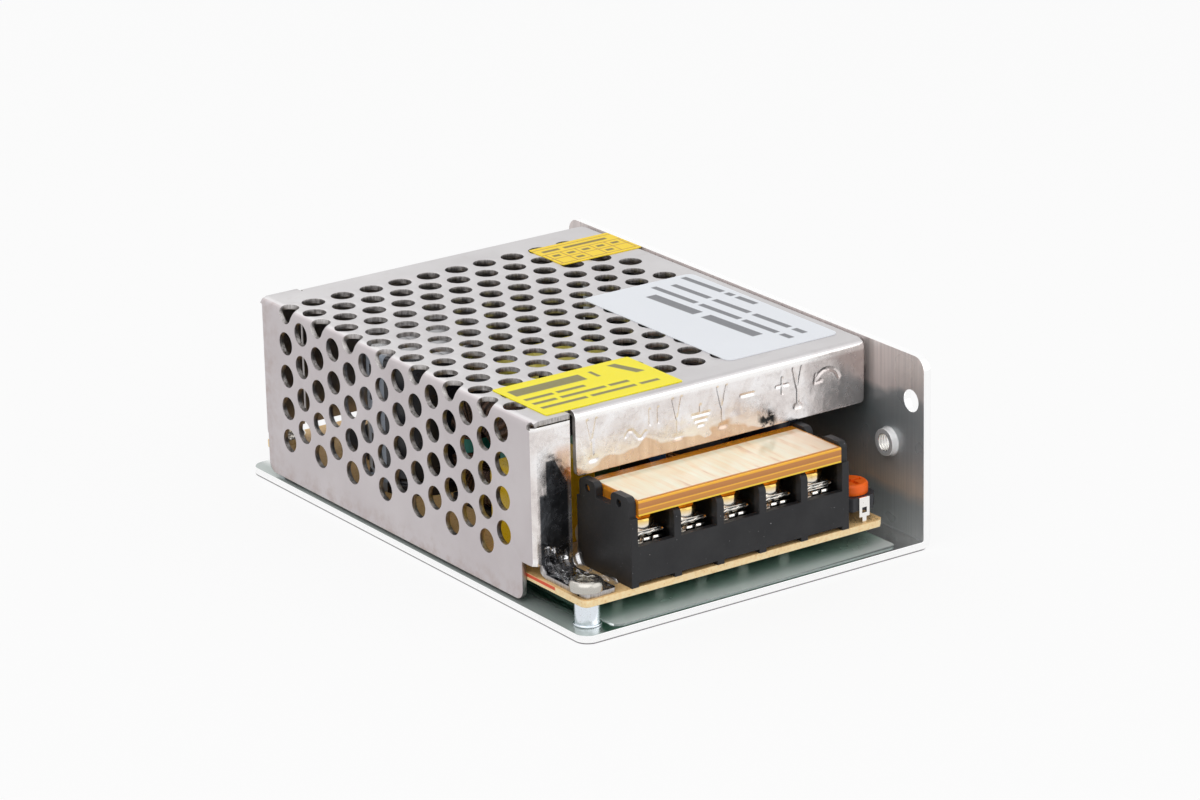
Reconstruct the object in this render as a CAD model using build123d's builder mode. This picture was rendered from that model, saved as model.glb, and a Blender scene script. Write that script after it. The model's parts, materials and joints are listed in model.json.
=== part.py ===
"""A mesh case switching power supply: an L of aluminium, a perforated steel cover, a circuit board on
pillars and a five-way terminal block with a hinged cover.

The origin is the middle of the case's underside. +X is the side of the solid wall, -Y is the
terminal end and +Z is up. Lengths are in millimetres.
"""

from build123d import *
import math
import os

# Case: floor and right-hand wall, bent from one aluminium sheet
case_length = 85.0
case_width = 58.3
case_height = 27.8
base_sheet = 1.2
base_bend = 1.5
base_inner_bend = 0.3
base_corner = 2.0
wall_corner = 2.0

# Holes at the terminal end of the wall, for fastening the supply
wall_hole_radius = 1.6
wall_hole_from_front = 2.8
wall_hole_height = 21.1
tapped_radius = 1.25
tapped_from_front = 7.6
tapped_height = 13.9
collar_radius = 1.95
collar_height = 1.0

# Cover: one folded steel sheet
cover_sheet = 0.7
cover_left_inset = 0.45
cover_top_drop = 0.1
cover_from_front = 12.1
cover_from_rear = 4.0
cover_floor_gap = 0.45
side_bend = 1.3
right_bend = 0.9
flap_bend = 0.9
bend_inner = 0.2
bend_clear = 1.2
flap_lid_gap = 0.95
flap_inset = 7.2
flap_corner = 0.6
return_width = 6.3
return_top_gap = 0.2
slot_depth = 1.6
rear_slot_width = 0.3
rear_slot_depth = 1.3
notch_height = 7.3
notch_depth = 2.9
rear_notch_depth = 0.8
right_flange_depth = 4.2
relief_radius = 0.7
side_corner = 1.5

# Foot tab of the cover, screwed down at the front left
tab_inset = 1.4
tab_width = 4.9
tab_corner = 0.5
tab_front_gap = 0.4
tab_hole_clearance = 0.15

# Perforation: staggered at 60 degrees
hole_diameter = 3.4
hole_pitch = 4.885
hole_rows = 14
rear_row_inset = 6.85
top_holes = 10
side_holes = 4
side_row_drop = 0.35
fold_hole_reach = 1.5

# Pillars and board
pillar_height = 3.3
pillar_radius = 1.75
pillar_bore = 1.25
pillar_from_left = 3.3
pillar_from_front = 4.0
rear_pillar_from_rear = 4.9
rear_pillar_from_left = 4.0
right_pillar_from_wall = 8.95
rivet_radius = 1.65
board_thickness = 1.0
board_left_gap = 0.15
board_right_gap = 5.6
board_from_front = 1.6
board_from_rear = 2.4
board_corner = 1.0
board_chamfer = 0.8

# Machine screws, M3 and M2
m3_radius = 1.5
m3_shank_radius = 1.2
m3_head_radius = 2.35
m3_head_height = 1.5
m3_head_round = 0.8
m3_hole_clearance = 0.15
recess_width = 0.7
recess_length = 2.6
recess_depth = 0.8
m2_radius = 0.95
m2_head_radius = 1.9
m2_hole_clearance = 0.05
m2_length = 3.0
cover_screw_from_front = 10.0
cover_screw_from_rear = 18.25
fit_clearance = 0.05

# Insulating film on the floor
film_thickness = 0.15
film_left_gap = 5.6
film_right_gap = 3.9
film_from_front = 0.7
film_from_rear = 2.0
film_corner = 1.5
film_hole_clearance = 0.5

# Terminal block
ways = 5
way_pitch = 7.05
barrier = 1.15
block_left = -20.25
block_from_front = 1.5
block_depth = 12.5
block_foot = 0.6
front_wall = 1.0
front_wall_height = 5.1
barrier_height = 9.8
barrier_corner = 1.2
seat_height = 4.2
seat_depth = 10.8
rear_wall_height = 9.3
ear_height = 12.6
ear_front_inset = 0.4
ear_corner = 0.9
ear_notch_front = 4.6
ear_notch_rear = 8.0
ear_notch_height = 10.6
ear_rear_end = 11.9
ear_hole_height = 11.35
latch_hole_inset = 2.75

# Contacts, clamp plates and clamp screws of the block
contact_width = 4.7
contact_sheet = 0.8
contact_front_inset = 2.6
contact_length = 7.6
contact_tail = 0.8
contact_tail_width = 1.6
contact_tail_drop = 1.8
screw_from_front = 4.5
clamp_size = 4.8
clamp_thickness = 0.9
clamp_ridge = 0.25
clamp_open = 1.0
clamp_screw_radius = 1.45
clamp_screw_head = 1.85
clamp_screw_length = 5.0

# Hinged cover of the block
hinge_pin_radius = 0.5
hinge_from_front = 10.0
hinge_clearance = 0.05
lid_sheet = 0.8
lid_side_gap = 0.15
lid_skirt = 0.95
lid_lip_drop = 1.4
lid_lip = 1.0
lid_rear_reach = 1.2
lid_edge = 0.3
pin_length = 0.9

# Trimmer beside the block
trimmer_x = 19.3
trimmer_from_front = 5.2
trimmer_size = 5.6
trimmer_corner = 1.1
trimmer_stand = 1.7
trimmer_body_height = 2.0
rotor_radius = 2.4
rotor_height = 1.5
rotor_gap = 0.05
rotor_slot_width = 0.6
rotor_slot_length = 3.4
rotor_slot_depth = 0.6
leg_width = 1.75
leg_sheet = 0.3
leg_window = 0.8

# Parts on the board, by place and size
component_edge = 0.6
can_edge = 0.8
can_groove = 0.4
can_groove_height = 1.6
package_gap = 0.4
winding_gap = 18
winding_corner = 2.0
x_cap_size = (13.0, 6.8, 12.0)
x_cap_place = (-19.0, -18.6)
fuse_place = (-13.0, -25.6)
fuse_radius = 1.8
fuse_length = 9.0
fuse_stand = 0.4
choke_place = (-16.3, -4.5)
choke_outer = 7.2
choke_inner = 3.6
choke_depth = 6.0
choke_wire = 0.8
choke_base_height = 0.8
bulk_place = (-18.6, 12.2)
bulk_radius = 7.6
bulk_top_gap = 1.5
thermistor_place = (-7.0, -12.5)
thermistor_radius = 4.5
thermistor_thickness = 3.6
lead_length = 2.4
lead_size = 0.7
diode_place = (-20.5, 26.5)
diode_pitch = 3.6
diode_radius = 1.35
diode_length = 5.2
transformer_place = (0.6, 4.6)
core_length = 21.0
core_width = 22.0
core_height = 6.8
core_lift = 5.2
core_leg = 2.4
core_back = 3.4
winding_width = 16.0
winding_height = 16.8
bobbin_flange = 1.0
bobbin_side_gap = 0.2
bobbin_foot = 3.4
out_cap_radius = 5.0
out_cap_height = 16.0
out_cap_places = ((16.3, -21.2), (16.3, -10.4))
out_choke_place = (5.4, -20.4)
out_choke_radius = 4.6
out_choke_neck = 3.3
out_choke_height = 10.0
out_choke_flange = 1.2
y_cap_place = (6.5, -11.6)
y_cap_radius = 3.6
y_cap_thickness = 3.0
small_cap_place = (9.5, 24.0)
small_cap_radius = 2.5
small_cap_height = 11.0
chip_place = (-3.5, 24.0)
chip_size = (6.4, 9.4, 3.4)
coupler_place = (14.8, 19.6)
coupler_size = (4.6, 6.4, 3.4)
reference_place = (8.0, 32.6)
reference_radius = 2.2
reference_flat = 0.9
reference_height = 4.6
resistor_place = (-6.5, 33.2)
resistor_pitch = 3.4
resistor_count = 4
resistor_radius = 1.1
resistor_length = 6.2

# Power semiconductors on the wall
transistor_y = (27.0, -2.5)
package_width = 10.0
package_depth = 4.4
package_height = 9.2
package_tab = 1.3
package_flange_gap = 0.4
package_stand = 2.2
package_hole_drop = 2.9
package_hole_radius = 1.7
package_lead_pitch = 2.54
package_lead_run = 4.0
pad_thickness = 0.3
pad_margin = 1.0

# Labels on the cover
label_thickness = 0.1
label_corner = 0.3
rating_label_corner = 1.2
front_label_size = (22.4, 13.0)
front_label_from_left = 3.4
front_label_from_front = 1.2
rating_label_size = (19.2, 35.0)
rating_label_from_wall = 1.95
rating_label_from_front = 4.1
date_label_size = (14.1, 9.0)
date_label_from_wall = 0.05
date_label_from_rear = 6.0

# Planes and places that the pieces share
floor_left = -case_width / 2
case_front = -case_length / 2
case_rear = case_length / 2
wall_inner = case_width / 2 - base_sheet

cover_left = floor_left + cover_left_inset
cover_top = case_height - cover_top_drop
cover_bottom = base_sheet + cover_floor_gap
cover_front = case_front + cover_from_front
cover_rear = case_rear - cover_from_rear
cover_inside_left = cover_left + cover_sheet
cover_under = cover_top - cover_sheet
flap_left = cover_left + flap_inset
flap_right = wall_inner - right_bend
flange_inside = wall_inner - cover_sheet
return_right = cover_left + return_width
rear_flap_left = return_right + rear_slot_width
return_top = cover_under - return_top_gap

board_bottom = base_sheet + pillar_height
board_top = board_bottom + board_thickness
board_left = cover_inside_left + board_left_gap
board_right = wall_inner - board_right_gap
board_front = case_front + board_from_front
board_rear = case_rear - board_from_rear

left_pillar_x = floor_left + pillar_from_left
front_pillar_y = case_front + pillar_from_front
rear_pillar_y = case_rear - rear_pillar_from_rear
inner_pillars = (
    (floor_left + rear_pillar_from_left, rear_pillar_y),
    (wall_inner - right_pillar_from_wall, rear_pillar_y),
)
all_pillars = ((left_pillar_x, front_pillar_y), *inner_pillars)

block_front = case_front + block_from_front
block_rear = block_front + block_depth
block_width = ways * way_pitch + barrier
block_right = block_left + block_width
barrier_xs = [block_left + barrier / 2 + i * way_pitch for i in range(ways + 1)]
way_xs = [block_left + barrier / 2 + (i + 0.5) * way_pitch for i in range(ways)]
seat_top = board_top + seat_height
contact_top = seat_top + contact_sheet
clamp_bottom = contact_top + clamp_open
clamp_top = clamp_bottom + clamp_thickness
screw_y = block_front + screw_from_front
tail_y = block_front + contact_front_inset + contact_length - contact_tail / 2

hinge_y = block_front + hinge_from_front
hinge_z = board_top + ear_hole_height
lid_top = hinge_z + lid_sheet
flap_bottom = lid_top + flap_lid_gap
lid_left = block_left + barrier + lid_side_gap
lid_right = block_right - barrier - lid_side_gap

cover_screw_z = cover_top - right_flange_depth / 2
cover_screw_ys = (cover_front + cover_screw_from_front, cover_rear - cover_screw_from_rear)
pad_left = wall_inner - pad_thickness
package_right = pad_left
package_bottom = board_top + package_stand
package_tab_height = cover_top - right_flange_depth - package_flange_gap - package_bottom
bulk_height = cover_under - bulk_top_gap - board_top
package_hole_z = package_bottom + package_tab_height - package_hole_drop

trimmer_y = case_front + trimmer_from_front
trimmer_bottom = board_top + trimmer_stand
trimmer_top = trimmer_bottom + trimmer_body_height

tab_left = cover_left + tab_inset
tab_front = board_front + tab_front_gap

row_pitch = hole_pitch * math.sin(math.radians(60))
first_row_y = cover_rear - rear_row_inset
row_ys = [first_row_y - row * row_pitch for row in range(hole_rows)]

os.makedirs("parts", exist_ok=True)


# Chassis: floor and wall
with BuildPart() as chassis:
    with BuildSketch(Plane.XZ):
        with BuildLine():
            Polyline(
                (floor_left, 0),
                (case_width / 2, 0),
                (case_width / 2, case_height),
                (wall_inner, case_height),
                (wall_inner, base_sheet),
                (floor_left, base_sheet),
                close=True,
            )
        make_face()
    extrude(amount=case_length / 2, both=True)
    long_edges = chassis.edges().filter_by(Axis.Y)
    fillet(long_edges.sort_by_distance((case_width / 2, 0, 0))[0], base_bend)
    long_edges = chassis.edges().filter_by(Axis.Y)
    fillet(long_edges.sort_by_distance((wall_inner, 0, base_sheet))[0], base_inner_bend)
    fillet(chassis.edges().filter_by(Axis.Z).group_by(Axis.X)[0], base_corner)
    fillet(chassis.edges().filter_by(Axis.X).group_by(Axis.Z)[-1], wall_corner)
    # The collar that the tapped hole is drawn into stands on the wall's inner face
    with BuildSketch(Plane.YZ.offset(wall_inner - collar_height)):
        with Locations((case_front + tapped_from_front, tapped_height)):
            Circle(collar_radius)
    extrude(amount=collar_height)
    with BuildSketch(Plane.YZ.offset(wall_inner - collar_height)):
        with Locations((case_front + tapped_from_front, tapped_height)):
            Circle(tapped_radius)
        with Locations((case_front + wall_hole_from_front, wall_hole_height)):
            Circle(wall_hole_radius)
        with Locations(*[(y, package_hole_z) for y in transistor_y]):
            Circle(m3_shank_radius + fit_clearance)
    extrude(amount=collar_height + base_sheet, mode=Mode.SUBTRACT)
    # Countersunk holes for the two screws that hold the cover's flange
    with Locations(*[Location((case_width / 2, y, cover_screw_z), (0, 90, 0)) for y in cover_screw_ys]):
        CounterSinkHole(
            radius=m2_radius + m2_hole_clearance,
            counter_sink_radius=m2_head_radius + m2_hole_clearance,
            depth=base_sheet,
            counter_sink_angle=90,
        )
    # Holes that the pillars are riveted into
    with BuildSketch(Plane.XY):
        with Locations(*all_pillars):
            Circle(rivet_radius + fit_clearance)
    extrude(amount=base_sheet, mode=Mode.SUBTRACT)
chassis.part.label = "chassis_base"
export_step(chassis.part, "parts/chassis_base.step")


# Cover: side, top and right flange folded from one sheet, with a flap at each end
with BuildPart() as cover:
    with BuildSketch(Plane.XZ.offset(-cover_rear)):
        with BuildLine():
            Polyline(
                (cover_left, cover_bottom),
                (cover_left, cover_top),
                (wall_inner, cover_top),
                (wall_inner, cover_top - right_flange_depth),
                (flange_inside, cover_top - right_flange_depth),
                (flange_inside, cover_under),
                (cover_inside_left, cover_under),
                (cover_inside_left, cover_bottom),
                close=True,
            )
        make_face()
    extrude(amount=cover_rear - cover_front)
    mid_y = (cover_front + cover_rear) / 2
    for corner, radius in (
        ((cover_left, mid_y, cover_top), side_bend),
        ((cover_inside_left, mid_y, cover_under), side_bend - cover_sheet),
        ((wall_inner, mid_y, cover_top), right_bend),
        ((flange_inside, mid_y, cover_under), bend_inner),
    ):
        fillet(cover.edges().filter_by(Axis.Y).sort_by_distance(corner)[0], radius)
    # Both ends are cleared for the bends; over the return flanges the top sheet stays
    for end in (cover_front, cover_rear):
        with BuildSketch(Plane.XY.offset(cover_bottom)):
            with Locations(((return_right + wall_inner) / 2, end)):
                Rectangle(wall_inner - return_right, 2 * bend_clear)
        extrude(amount=cover_top - cover_bottom, mode=Mode.SUBTRACT)
        with BuildSketch(Plane.XY.offset(cover_bottom)):
            with Locations(((cover_left + return_right) / 2, end)):
                Rectangle(return_width, 2 * bend_clear)
        extrude(amount=return_top - cover_bottom, mode=Mode.SUBTRACT)
    # End flaps bent down from the top: a short one over the block, a deep one behind
    for end, inward, left, bottom in (
        (cover_front, 1, flap_left, flap_bottom),
        (cover_rear, -1, rear_flap_left, notch_height),
    ):
        with BuildSketch(Plane.YZ.offset(left)) as flap_section:
            with BuildLine():
                Polyline(
                    (end + inward * bend_clear, cover_top),
                    (end, cover_top),
                    (end, bottom),
                    (end + inward * cover_sheet, bottom),
                    (end + inward * cover_sheet, cover_under),
                    (end + inward * bend_clear, cover_under),
                    close=True,
                )
            make_face()
            fillet(flap_section.vertices().sort_by_distance((end, cover_top))[0], flap_bend)
            inner = (end + inward * cover_sheet, cover_under)
            fillet(flap_section.vertices().sort_by_distance(inner)[0], bend_inner)
        extrude(amount=flap_right - left)
    # Return flanges bent in from the side
    for end, inward in ((cover_front, 1), (cover_rear, -1)):
        with BuildSketch(Plane.XY.offset(notch_height)) as return_section:
            with BuildLine():
                Polyline(
                    (cover_left, end + inward * bend_clear),
                    (cover_left, end),
                    (return_right, end),
                    (return_right, end + inward * cover_sheet),
                    (cover_inside_left, end + inward * cover_sheet),
                    (cover_inside_left, end + inward * bend_clear),
                    close=True,
                )
            make_face()
            fillet(return_section.vertices().sort_by_distance((cover_left, end))[0], flap_bend)
            inner = (cover_inside_left, end + inward * cover_sheet)
            fillet(return_section.vertices().sort_by_distance(inner)[0], bend_inner)
        extrude(amount=return_top - notch_height)
    # Slots free the flaps from the flanges
    with BuildSketch(Plane.XY.offset(notch_height)):
        for end, left, depth in (
            (cover_front, flap_left, slot_depth),
            (cover_rear, rear_flap_left, rear_slot_depth),
        ):
            with Locations(((return_right + left) / 2, end)):
                Rectangle(left - return_right, 2 * depth)
    extrude(amount=cover_top - notch_height, mode=Mode.SUBTRACT)
    # Below the flanges the side stops short of both ends
    for end, depth in ((cover_front, notch_depth), (cover_rear, rear_notch_depth)):
        with BuildSketch(Plane.XY):
            with Locations(((cover_left + return_right) / 2, end)):
                Rectangle(return_width, 2 * depth)
        extrude(amount=notch_height, mode=Mode.SUBTRACT)
    # Rounded corners of the flaps and of the side's lower edge
    for end, left, bottom in (
        (cover_front, flap_left, flap_bottom),
        (cover_rear, rear_flap_left, notch_height),
    ):
        for side_x in (left, flap_right):
            through = cover.edges().filter_by(Axis.Y)
            fillet(through.sort_by_distance((side_x, end, bottom))[0], flap_corner)
    for low_y in (cover_front + notch_depth, cover_rear - rear_notch_depth):
        across = cover.edges().filter_by(Axis.X)
        fillet(across.sort_by_distance((cover_left, low_y, cover_bottom))[0], side_corner)
    # Small round relief where three folds meet at the front
    with BuildSketch(Plane.XZ.offset(-cover_front - cover_sheet)):
        with Locations((cover_left + flap_bend, return_top)):
            Circle(relief_radius)
    extrude(amount=cover_sheet, mode=Mode.SUBTRACT)
    # Foot tab, bent forward from the flange's lower edge over the corner of the board
    with BuildSketch(Plane.YZ.offset(tab_left)):
        with BuildLine():
            Polyline(
                (cover_front, notch_height),
                (cover_front + cover_sheet, notch_height),
                (cover_front + cover_sheet, board_top),
                (tab_front, board_top),
                (tab_front, board_top + cover_sheet),
                (cover_front, board_top + cover_sheet),
                close=True,
            )
        make_face()
    extrude(amount=tab_width)
    across = cover.edges().filter_by(Axis.X)
    fillet(across.sort_by_distance((tab_left, cover_front + cover_sheet, board_top))[0], flap_bend)
    across = cover.edges().filter_by(Axis.X)
    fillet(across.sort_by_distance((tab_left, cover_front, board_top + cover_sheet))[0], bend_inner)
    for side_x in (tab_left, tab_left + tab_width):
        upright = cover.edges().filter_by(Axis.Z)
        fillet(upright.sort_by_distance((side_x, tab_front, board_top))[0], tab_corner)
    with BuildSketch(Plane.XY.offset(board_top)):
        with Locations((left_pillar_x, front_pillar_y)):
            Circle(m3_shank_radius + tab_hole_clearance)
    extrude(amount=cover_sheet, mode=Mode.SUBTRACT)
    # Tapped holes of the right flange
    with BuildSketch(Plane.YZ.offset(flange_inside)):
        with Locations(*[(y, cover_screw_z) for y in cover_screw_ys]):
            Circle(m2_radius + m2_hole_clearance)
    extrude(amount=cover_sheet, mode=Mode.SUBTRACT)
    # Perforation of the top: every other row is shifted by half a pitch
    with BuildSketch(Plane.XY.offset(cover_under)):
        for row, row_y in enumerate(row_ys):
            shift = 0 if row % 2 == 0 else -0.5
            count = top_holes if row % 2 == 0 else top_holes + 1
            with Locations(*[(cover_left + (i + 1 + shift) * hole_pitch, row_y) for i in range(count)]):
                Circle(hole_diameter / 2)
    extrude(amount=cover_sheet, mode=Mode.SUBTRACT)
    # Perforation of the side
    with BuildSketch(Plane.YZ.offset(cover_left)):
        for row, row_y in enumerate(row_ys):
            shift = 0 if row % 2 == 0 else -0.5
            drops = [side_row_drop + (i + 1 + shift) * hole_pitch for i in range(side_holes)]
            with Locations(*[(row_y, cover_top - drop) for drop in drops]):
                Circle(hole_diameter / 2)
    extrude(amount=cover_sheet, mode=Mode.SUBTRACT)
    # Every other row has a hole centred on the fold, cut square to its middle
    for row_y in row_ys[::2]:
        fold_plane = Plane(origin=(cover_left, row_y, cover_top), x_dir=(0, 1, 0), z_dir=(1, 0, -1))
        with BuildSketch(fold_plane):
            Ellipse(hole_diameter / 2, fold_hole_reach)
        extrude(amount=2 * side_bend, mode=Mode.SUBTRACT)
cover.part.label = "perforated_cover"
export_step(cover.part, "parts/perforated_cover.step")


# Countersunk screws through the wall into the cover's flange
with BuildPart() as cover_screws:
    for y in cover_screw_ys:
        head_plane = Plane(origin=(case_width / 2, y, cover_screw_z), x_dir=(0, 1, 0), z_dir=(-1, 0, 0))
        with BuildSketch(head_plane):
            Circle(m2_head_radius)
        extrude(amount=m2_head_radius - m2_radius, taper=45)
        with BuildSketch(head_plane):
            Circle(m2_radius)
        extrude(amount=m2_length)
        with BuildSketch(head_plane):
            Rectangle(recess_length / 2, recess_width / 2)
            Rectangle(recess_width / 2, recess_length / 2)
        extrude(amount=recess_depth / 2, mode=Mode.SUBTRACT)
cover_screws.part.label = "cover_screws"
export_step(cover_screws.part, "parts/cover_screws.step")


# Pillars riveted into the floor
with BuildPart() as pillars:
    with Locations(*[(x, y, 0) for x, y in all_pillars]):
        Cylinder(rivet_radius, base_sheet, align=(Align.CENTER, Align.CENTER, Align.MIN))
    with Locations(*[(x, y, base_sheet) for x, y in all_pillars]):
        Cylinder(pillar_radius, pillar_height, align=(Align.CENTER, Align.CENTER, Align.MIN))
    with Locations(*[(x, y, 0) for x, y in all_pillars]):
        Cylinder(
            pillar_bore, board_bottom, align=(Align.CENTER, Align.CENTER, Align.MIN), mode=Mode.SUBTRACT
        )
    feet = pillars.edges().filter_by(GeomType.CIRCLE).group_by(Axis.Z)[-1]
    chamfer(feet, bend_inner)
pillars.part.label = "board_pillars"
export_step(pillars.part, "parts/board_pillars.step")


def pan_screw(seat_z, places):
    """Pan head screws whose heads sit at seat_z and whose shanks go down into the pillars."""
    with BuildPart() as screws:
        with BuildSketch(Plane.XY.offset(seat_z)):
            with Locations(*places):
                Circle(m3_head_radius)
        extrude(amount=m3_head_height)
        crowns = screws.edges().filter_by(GeomType.CIRCLE).group_by(Axis.Z)[-1]
        fillet(crowns, m3_head_round)
        with BuildSketch(Plane.XY.offset(seat_z)):
            with Locations(*places):
                Circle(m3_shank_radius)
        extrude(amount=base_sheet - seat_z)
        with BuildSketch(Plane.XY.offset(seat_z + m3_head_height)):
            with Locations(*places):
                Rectangle(recess_length, recess_width)
                Rectangle(recess_width, recess_length)
        extrude(amount=-recess_depth, mode=Mode.SUBTRACT)
    return screws.part


foot_screw = pan_screw(board_top + cover_sheet, ((left_pillar_x, front_pillar_y),))
foot_screw.label = "foot_tab_screw"
export_step(foot_screw, "parts/foot_tab_screw.step")

board_screws = pan_screw(board_top, inner_pillars)
board_screws.label = "board_screws"
export_step(board_screws, "parts/board_screws.step")


# Insulating film on the floor
with BuildPart() as film:
    with BuildSketch(Plane.XY.offset(base_sheet)):
        film_left = floor_left + film_left_gap
        film_right = wall_inner - film_right_gap
        film_front = case_front + film_from_front
        film_rear = case_rear - film_from_rear
        with Locations(((film_left + film_right) / 2, (film_front + film_rear) / 2)):
            RectangleRounded(film_right - film_left, film_rear - film_front, film_corner)
        with Locations(*all_pillars):
            Circle(pillar_radius + film_hole_clearance, mode=Mode.SUBTRACT)
    extrude(amount=film_thickness)
film.part.label = "insulating_film"
export_step(film.part, "parts/insulating_film.step")


# Circuit board
with BuildPart() as board:
    with BuildSketch(Plane.XY.offset(board_bottom)) as board_outline:
        with Locations(((board_left + board_right) / 2, (board_front + board_rear) / 2)):
            Rectangle(board_right - board_left, board_rear - board_front)
        left_corners = board_outline.vertices().group_by(Axis.X)[0]
        fillet(left_corners, board_corner)
        right_front = board_outline.vertices().sort_by_distance((board_right, board_front, 0))[0]
        chamfer(right_front, board_chamfer)
        with Locations(*all_pillars):
            Circle(m3_shank_radius + m3_hole_clearance, mode=Mode.SUBTRACT)
        with Locations(*[(x, tail_y) for x in way_xs]):
            Rectangle(
                contact_tail_width + 2 * fit_clearance,
                contact_tail + 2 * fit_clearance,
                mode=Mode.SUBTRACT,
            )
    extrude(amount=board_thickness)
board.part.label = "circuit_board"
export_step(board.part, "parts/circuit_board.step")


# Terminal block: barriers between open bays, with eared ends that carry the hinged cover
with BuildPart() as block:
    # Bed under the contacts, raised on feet below the barriers
    with BuildSketch(Plane.YZ.offset(block_left)):
        with BuildLine():
            Polyline(
                (block_front, board_top + block_foot),
                (block_front, board_top + block_foot + front_wall_height),
                (block_front + front_wall, board_top + block_foot + front_wall_height),
                (block_front + front_wall, seat_top),
                (block_front + seat_depth, seat_top),
                (block_front + seat_depth, board_top + rear_wall_height),
                (block_rear, board_top + rear_wall_height),
                (block_rear, board_top + block_foot),
                close=True,
            )
        make_face()
    extrude(amount=block_width)
    # Inner barriers, rounded at the front top
    for x in barrier_xs[1:-1]:
        with BuildSketch(Plane.YZ.offset(x - barrier / 2)) as inner_barrier:
            with Locations(((block_front + block_rear) / 2, board_top + barrier_height / 2)):
                Rectangle(block_depth, barrier_height)
            tops = inner_barrier.vertices().group_by(Axis.Y)[-1]
            fillet(tops.sort_by(Axis.X)[0], barrier_corner)
        extrude(amount=barrier)
    # End barriers with two ears and a notch between them
    for x in (barrier_xs[0], barrier_xs[-1]):
        with BuildSketch(Plane.YZ.offset(x - barrier / 2)) as end_barrier:
            with Locations(((block_front + block_rear) / 2, board_top + barrier_height / 2)):
                Rectangle(block_depth, barrier_height)
            with Locations((block_front + (ear_front_inset + ear_rear_end) / 2, board_top + ear_height / 2)):
                Rectangle(ear_rear_end - ear_front_inset, ear_height)
            with Locations(
                (
                    block_front + (ear_notch_front + ear_notch_rear) / 2,
                    board_top + (ear_notch_height + ear_height) / 2,
                )
            ):
                Rectangle(
                    ear_notch_rear - ear_notch_front, ear_height - ear_notch_height, mode=Mode.SUBTRACT
                )
            fillet(end_barrier.vertices().group_by(Axis.Y)[-1], ear_corner)
            with Locations((hinge_y, hinge_z), (block_front + latch_hole_inset, hinge_z)):
                Circle(hinge_pin_radius + hinge_clearance, mode=Mode.SUBTRACT)
        extrude(amount=barrier)
    # Bores for the clamp screws and slots for the contacts' tails
    with BuildSketch(Plane.XY.offset(board_top)):
        with Locations(*[(x, screw_y) for x in way_xs]):
            Circle(m3_radius + fit_clearance)
        with Locations(*[(x, tail_y) for x in way_xs]):
            Rectangle(contact_tail_width + 2 * fit_clearance, contact_tail + 2 * fit_clearance)
    extrude(amount=seat_height, mode=Mode.SUBTRACT)
block.part.label = "terminal_block"
export_step(block.part, "parts/terminal_block.step")


# Contacts: flat plates on the bed, with tails down through the board
with BuildPart() as contacts:
    contact_front = block_front + contact_front_inset
    contact_rear = contact_front + contact_length
    with BuildSketch(Plane.XY.offset(seat_top)):
        with Locations(*[(x, (contact_front + contact_rear) / 2) for x in way_xs]):
            Rectangle(contact_width, contact_length)
    extrude(amount=contact_sheet)
    with BuildSketch(Plane.XY.offset(seat_top)):
        with Locations(*[(x, tail_y) for x in way_xs]):
            Rectangle(contact_tail_width, contact_tail)
    extrude(amount=board_bottom - contact_tail_drop - seat_top)
    with BuildSketch(Plane.XY.offset(seat_top)):
        with Locations(*[(x, screw_y) for x in way_xs]):
            Circle(m3_radius + fit_clearance)
    extrude(amount=contact_sheet, mode=Mode.SUBTRACT)
contacts.part.label = "terminal_contacts"
export_step(contacts.part, "parts/terminal_contacts.step")


# Clamp plates with a gripping ridge under their front and rear edges, and their screws
for way, x in enumerate(way_xs, start=1):
    with BuildPart() as clamp:
        with BuildSketch(Plane.XY.offset(clamp_bottom + clamp_ridge)):
            with Locations((x, screw_y)):
                RectangleRounded(clamp_size, clamp_size, clamp_ridge)
        extrude(amount=clamp_thickness - clamp_ridge)
        with BuildSketch(Plane.XY.offset(clamp_bottom)):
            ridge_shift = (clamp_size - clamp_ridge) / 2 - clamp_ridge
            with Locations((x, screw_y - ridge_shift), (x, screw_y + ridge_shift)):
                Rectangle(clamp_size - 2 * clamp_ridge, 2 * clamp_ridge)
        extrude(amount=clamp_ridge)
        with BuildSketch(Plane.XY.offset(clamp_bottom)):
            with Locations((x, screw_y)):
                Circle(m3_radius + fit_clearance)
        extrude(amount=clamp_thickness, mode=Mode.SUBTRACT)
    clamp.part.label = f"terminal_clamp_{way}"
    export_step(clamp.part, f"parts/terminal_clamp_{way}.step")

    with BuildPart() as clamp_screw:
        with BuildSketch(Plane.XY.offset(clamp_top)):
            with Locations((x, screw_y)):
                Circle(m3_head_radius)
        extrude(amount=clamp_screw_head)
        crown = clamp_screw.edges().filter_by(GeomType.CIRCLE).group_by(Axis.Z)[-1]
        fillet(crown, m3_head_round)
        with BuildSketch(Plane.XY.offset(clamp_top)):
            with Locations((x, screw_y)):
                Circle(clamp_screw_radius)
        extrude(amount=-clamp_screw_length)
        with BuildSketch(Plane.XY.offset(clamp_top + clamp_screw_head)):
            with Locations((x, screw_y)):
                Rectangle(recess_length, recess_width)
                Rectangle(recess_width, recess_length)
        extrude(amount=-recess_depth, mode=Mode.SUBTRACT)
    clamp_screw.part.label = f"terminal_screw_{way}"
    export_step(clamp_screw.part, f"parts/terminal_screw_{way}.step")


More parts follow.
